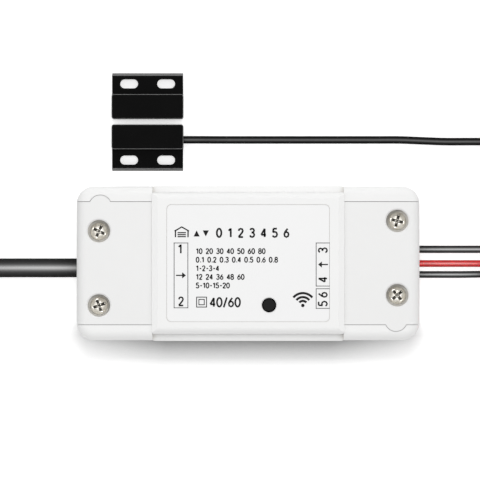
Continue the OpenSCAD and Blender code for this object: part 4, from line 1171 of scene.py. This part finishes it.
@dataclass
class Studio:
    """Camera over the box, soft light from above, behind and both ends, and a pale floor."""

    aim: Point = (-0.002125, 0.00609, 0.0225)
    view_width: float = 0.12595
    distance: float = 2.2
    lean: float = 0.5
    world_fill: float = 0.58
    key: Lamp = Lamp("key", (0.0, 0.06, 0.787), (0.08, 0.21), 1.34)
    cover_keys: tuple[tuple[str, Lamp], ...] = (
        ("input_cover", Lamp("input_key", (0.1, 0.15, 0.76), (0.09, 0.09), 1.15)),
        ("output_cover", Lamp("output_key", (-0.1, 0.15, 0.76), (0.09, 0.09), 1.15)),
    )
    edge_lamps: tuple[Lamp, ...] = (
        Lamp("back_edge", (0.0, 0.6, 0.5), (0.7, 0.2), 1.1),
        Lamp("input_edge", (-0.65, 0.0, 0.4), (0.3, 0.3), 0.4),
        Lamp("output_edge", (0.65, 0.0, 0.4), (0.3, 0.3), 0.4),
    )
    strip: Lamp = Lamp("strip", (0.0, 0.0, 0.8), (1.0, 0.14), 440.0, gloss_only=True)
    floor_size: float = 3.0
    floor_drop: float = 0.02 * MM
    floor_fibre: float = 0.8 * MM
    floor_colour: Colour = (0.97, 0.97, 0.97)
    floor_glow: Colour = (0.45, 0.45, 0.45)
    # Painted shadow on the floor along the box's front, darker where the box stands over it.
    shade_half: float = 45 * MM
    shade_taper: float = 46 * MM
    shade_front: float = -27.5 * MM
    shade_back: float = -16.5 * MM
    shade_blur: float = 5 * MM
    shade_reach: float = 7 * MM
    shade_gain: float = 2.0
    shade_colour: Colour = (0.495, 0.495, 0.495)

    def build(self, pieces: Sequence[bpy.types.Object]) -> None:
        """Makes the camera, the world, the lamps and the floor.

        A strip lamp gives the leads their long highlights, and each terminal cover
        has its own key, which comes from the middle of the box.

        Args:
            pieces: The pieces of the controller.
        """
        bpy.context.scene.view_settings.view_transform = "Standard"
        self._camera()
        self._world()
        named = {piece.name: piece for piece in pieces}
        for cover, lamp in self.cover_keys:
            lamp.build([named[cover]])
        self.key.build([named[cover] for cover, _ in self.cover_keys], "EXCLUDE")
        for lamp in self.edge_lamps:
            lamp.build()
        self.strip.build([piece for piece in pieces if piece.type == "CURVE"])
        self._floor()

    def _camera(self) -> None:
        """Long lens that looks down on the box, leaning a little to its front."""
        lens = bpy.data.cameras.new("camera")
        lens.sensor_width = 36.0
        lens.lens = lens.sensor_width * self.distance / self.view_width
        lens.clip_end = 20.0
        camera = add_object("camera", lens)
        angle = math.radians(self.lean)
        back = Vector((0.0, -math.sin(angle), math.cos(angle)))
        camera.location = Vector(self.aim) + back * self.distance
        camera.rotation_euler = (angle, 0.0, 0.0)
        bpy.context.scene.camera = camera

    def _world(self) -> None:
        """Even light all round, which looks white to the camera and in reflections."""
        world = bpy.data.worlds.new("studio")
        bpy.context.scene.world = world
        world.use_nodes = True
        graph = Graph(world.node_tree)
        seen = self._seen(graph)
        strength = self.world_fill + (1 - self.world_fill) * seen
        shader = graph.add("ShaderNodeBackground", {}, {"Color": (1.0, 1.0, 1.0), "Strength": strength})
        graph.output(shader, "ShaderNodeOutputWorld")

    @staticmethod
    def _seen(graph: Graph) -> Value:
        """Mask of rays from the camera, from mirrors and through glass."""
        camera, glossy, through = (
            graph.add("ShaderNodeLightPath", {}, {}, name)
            for name in ("Is Camera Ray", "Is Glossy Ray", "Is Transmission Ray")
        )
        return graph.add("ShaderNodeClamp", {}, {"Value": camera + glossy + through})

    def _front(self, graph: Graph) -> Value:
        """Mask of the floor along the box's front, which keeps its whole shadow and takes a painted shadow."""
        x, y = graph.along("X"), graph.along("Y")
        half, taper, blur = self.shade_half, self.shade_taper, self.shade_blur
        wide = x.above(-half, taper) * (1 - x.above(half, taper))
        return wide * y.above(self.shade_front, blur) * (1 - y.above(self.shade_back, blur))

    def _floor(self) -> None:
        """Pale floor that turns white for the camera, apart from the strip along the box's front, where a
        shadow is painted in.
        """
        form = bmesh.new()
        bmesh.ops.create_grid(form, x_segments=8, y_segments=8, size=self.floor_size / 2)
        mesh = bpy.data.meshes.new("floor")
        form.to_mesh(mesh)
        form.free()
        floor = add_object("floor", mesh)
        floor.location.z = -self.floor_drop
        material = bpy.data.materials.new("floor_paper")
        material.use_nodes = True
        graph = Graph(material.node_tree)
        fibre = graph.noise(self.floor_fibre, 3.0)
        front = self._front(graph)
        # Painted shadow: the floor's colour is darkened near the box along its front.
        painted_shadow = (1 - graph.openness(self.shade_reach, own=False)) * front * self.shade_gain
        sheet = graph.tint(fibre, self.floor_colour, 0.99, 1.01)
        glow = self._seen(graph) * (1 - front)
        paper = graph.surface(
            {
                "Base Color": graph.mix(painted_shadow, sheet, self.shade_colour),
                "Roughness": 0.9,
                "Specular IOR Level": 0.0,
                "Emission Color": graph.mix(glow, (0.0, 0.0, 0.0), self.floor_glow),
                "Emission Strength": 1.0,
            }
        )
        graph.output(paper)
        mesh.materials.append(material)
        floor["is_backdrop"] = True


def write_sizes() -> None:
    """Gathers the CAD box and the dressed model's box as lists, which it does not keep."""
    boxes = {"cad": CAD_BOX, "visual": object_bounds()}
    {name: [list(corner) for corner in box] for name, box in boxes.items()}


def main() -> None:
    """Builds the studio and every sub-assembly, and reports each piece."""
    logging.basicConfig(level=logging.INFO, format="%(message)s")
    assemblies = (
        MainsLead(), SensorCable(), SwitchLeads(), Housing(), FacePanel(), Fasteners(), PushButton(),
        Electronics(), DoorSensor(),
    )
    pieces = []
    for assembly in assemblies:
        for piece in assembly.build():
            LOG.info("%s: %s", type(assembly).__name__, piece.name)
            pieces.append(piece)
    Studio().build(pieces)
    write_sizes()


if __name__ == "__main__":
    main()
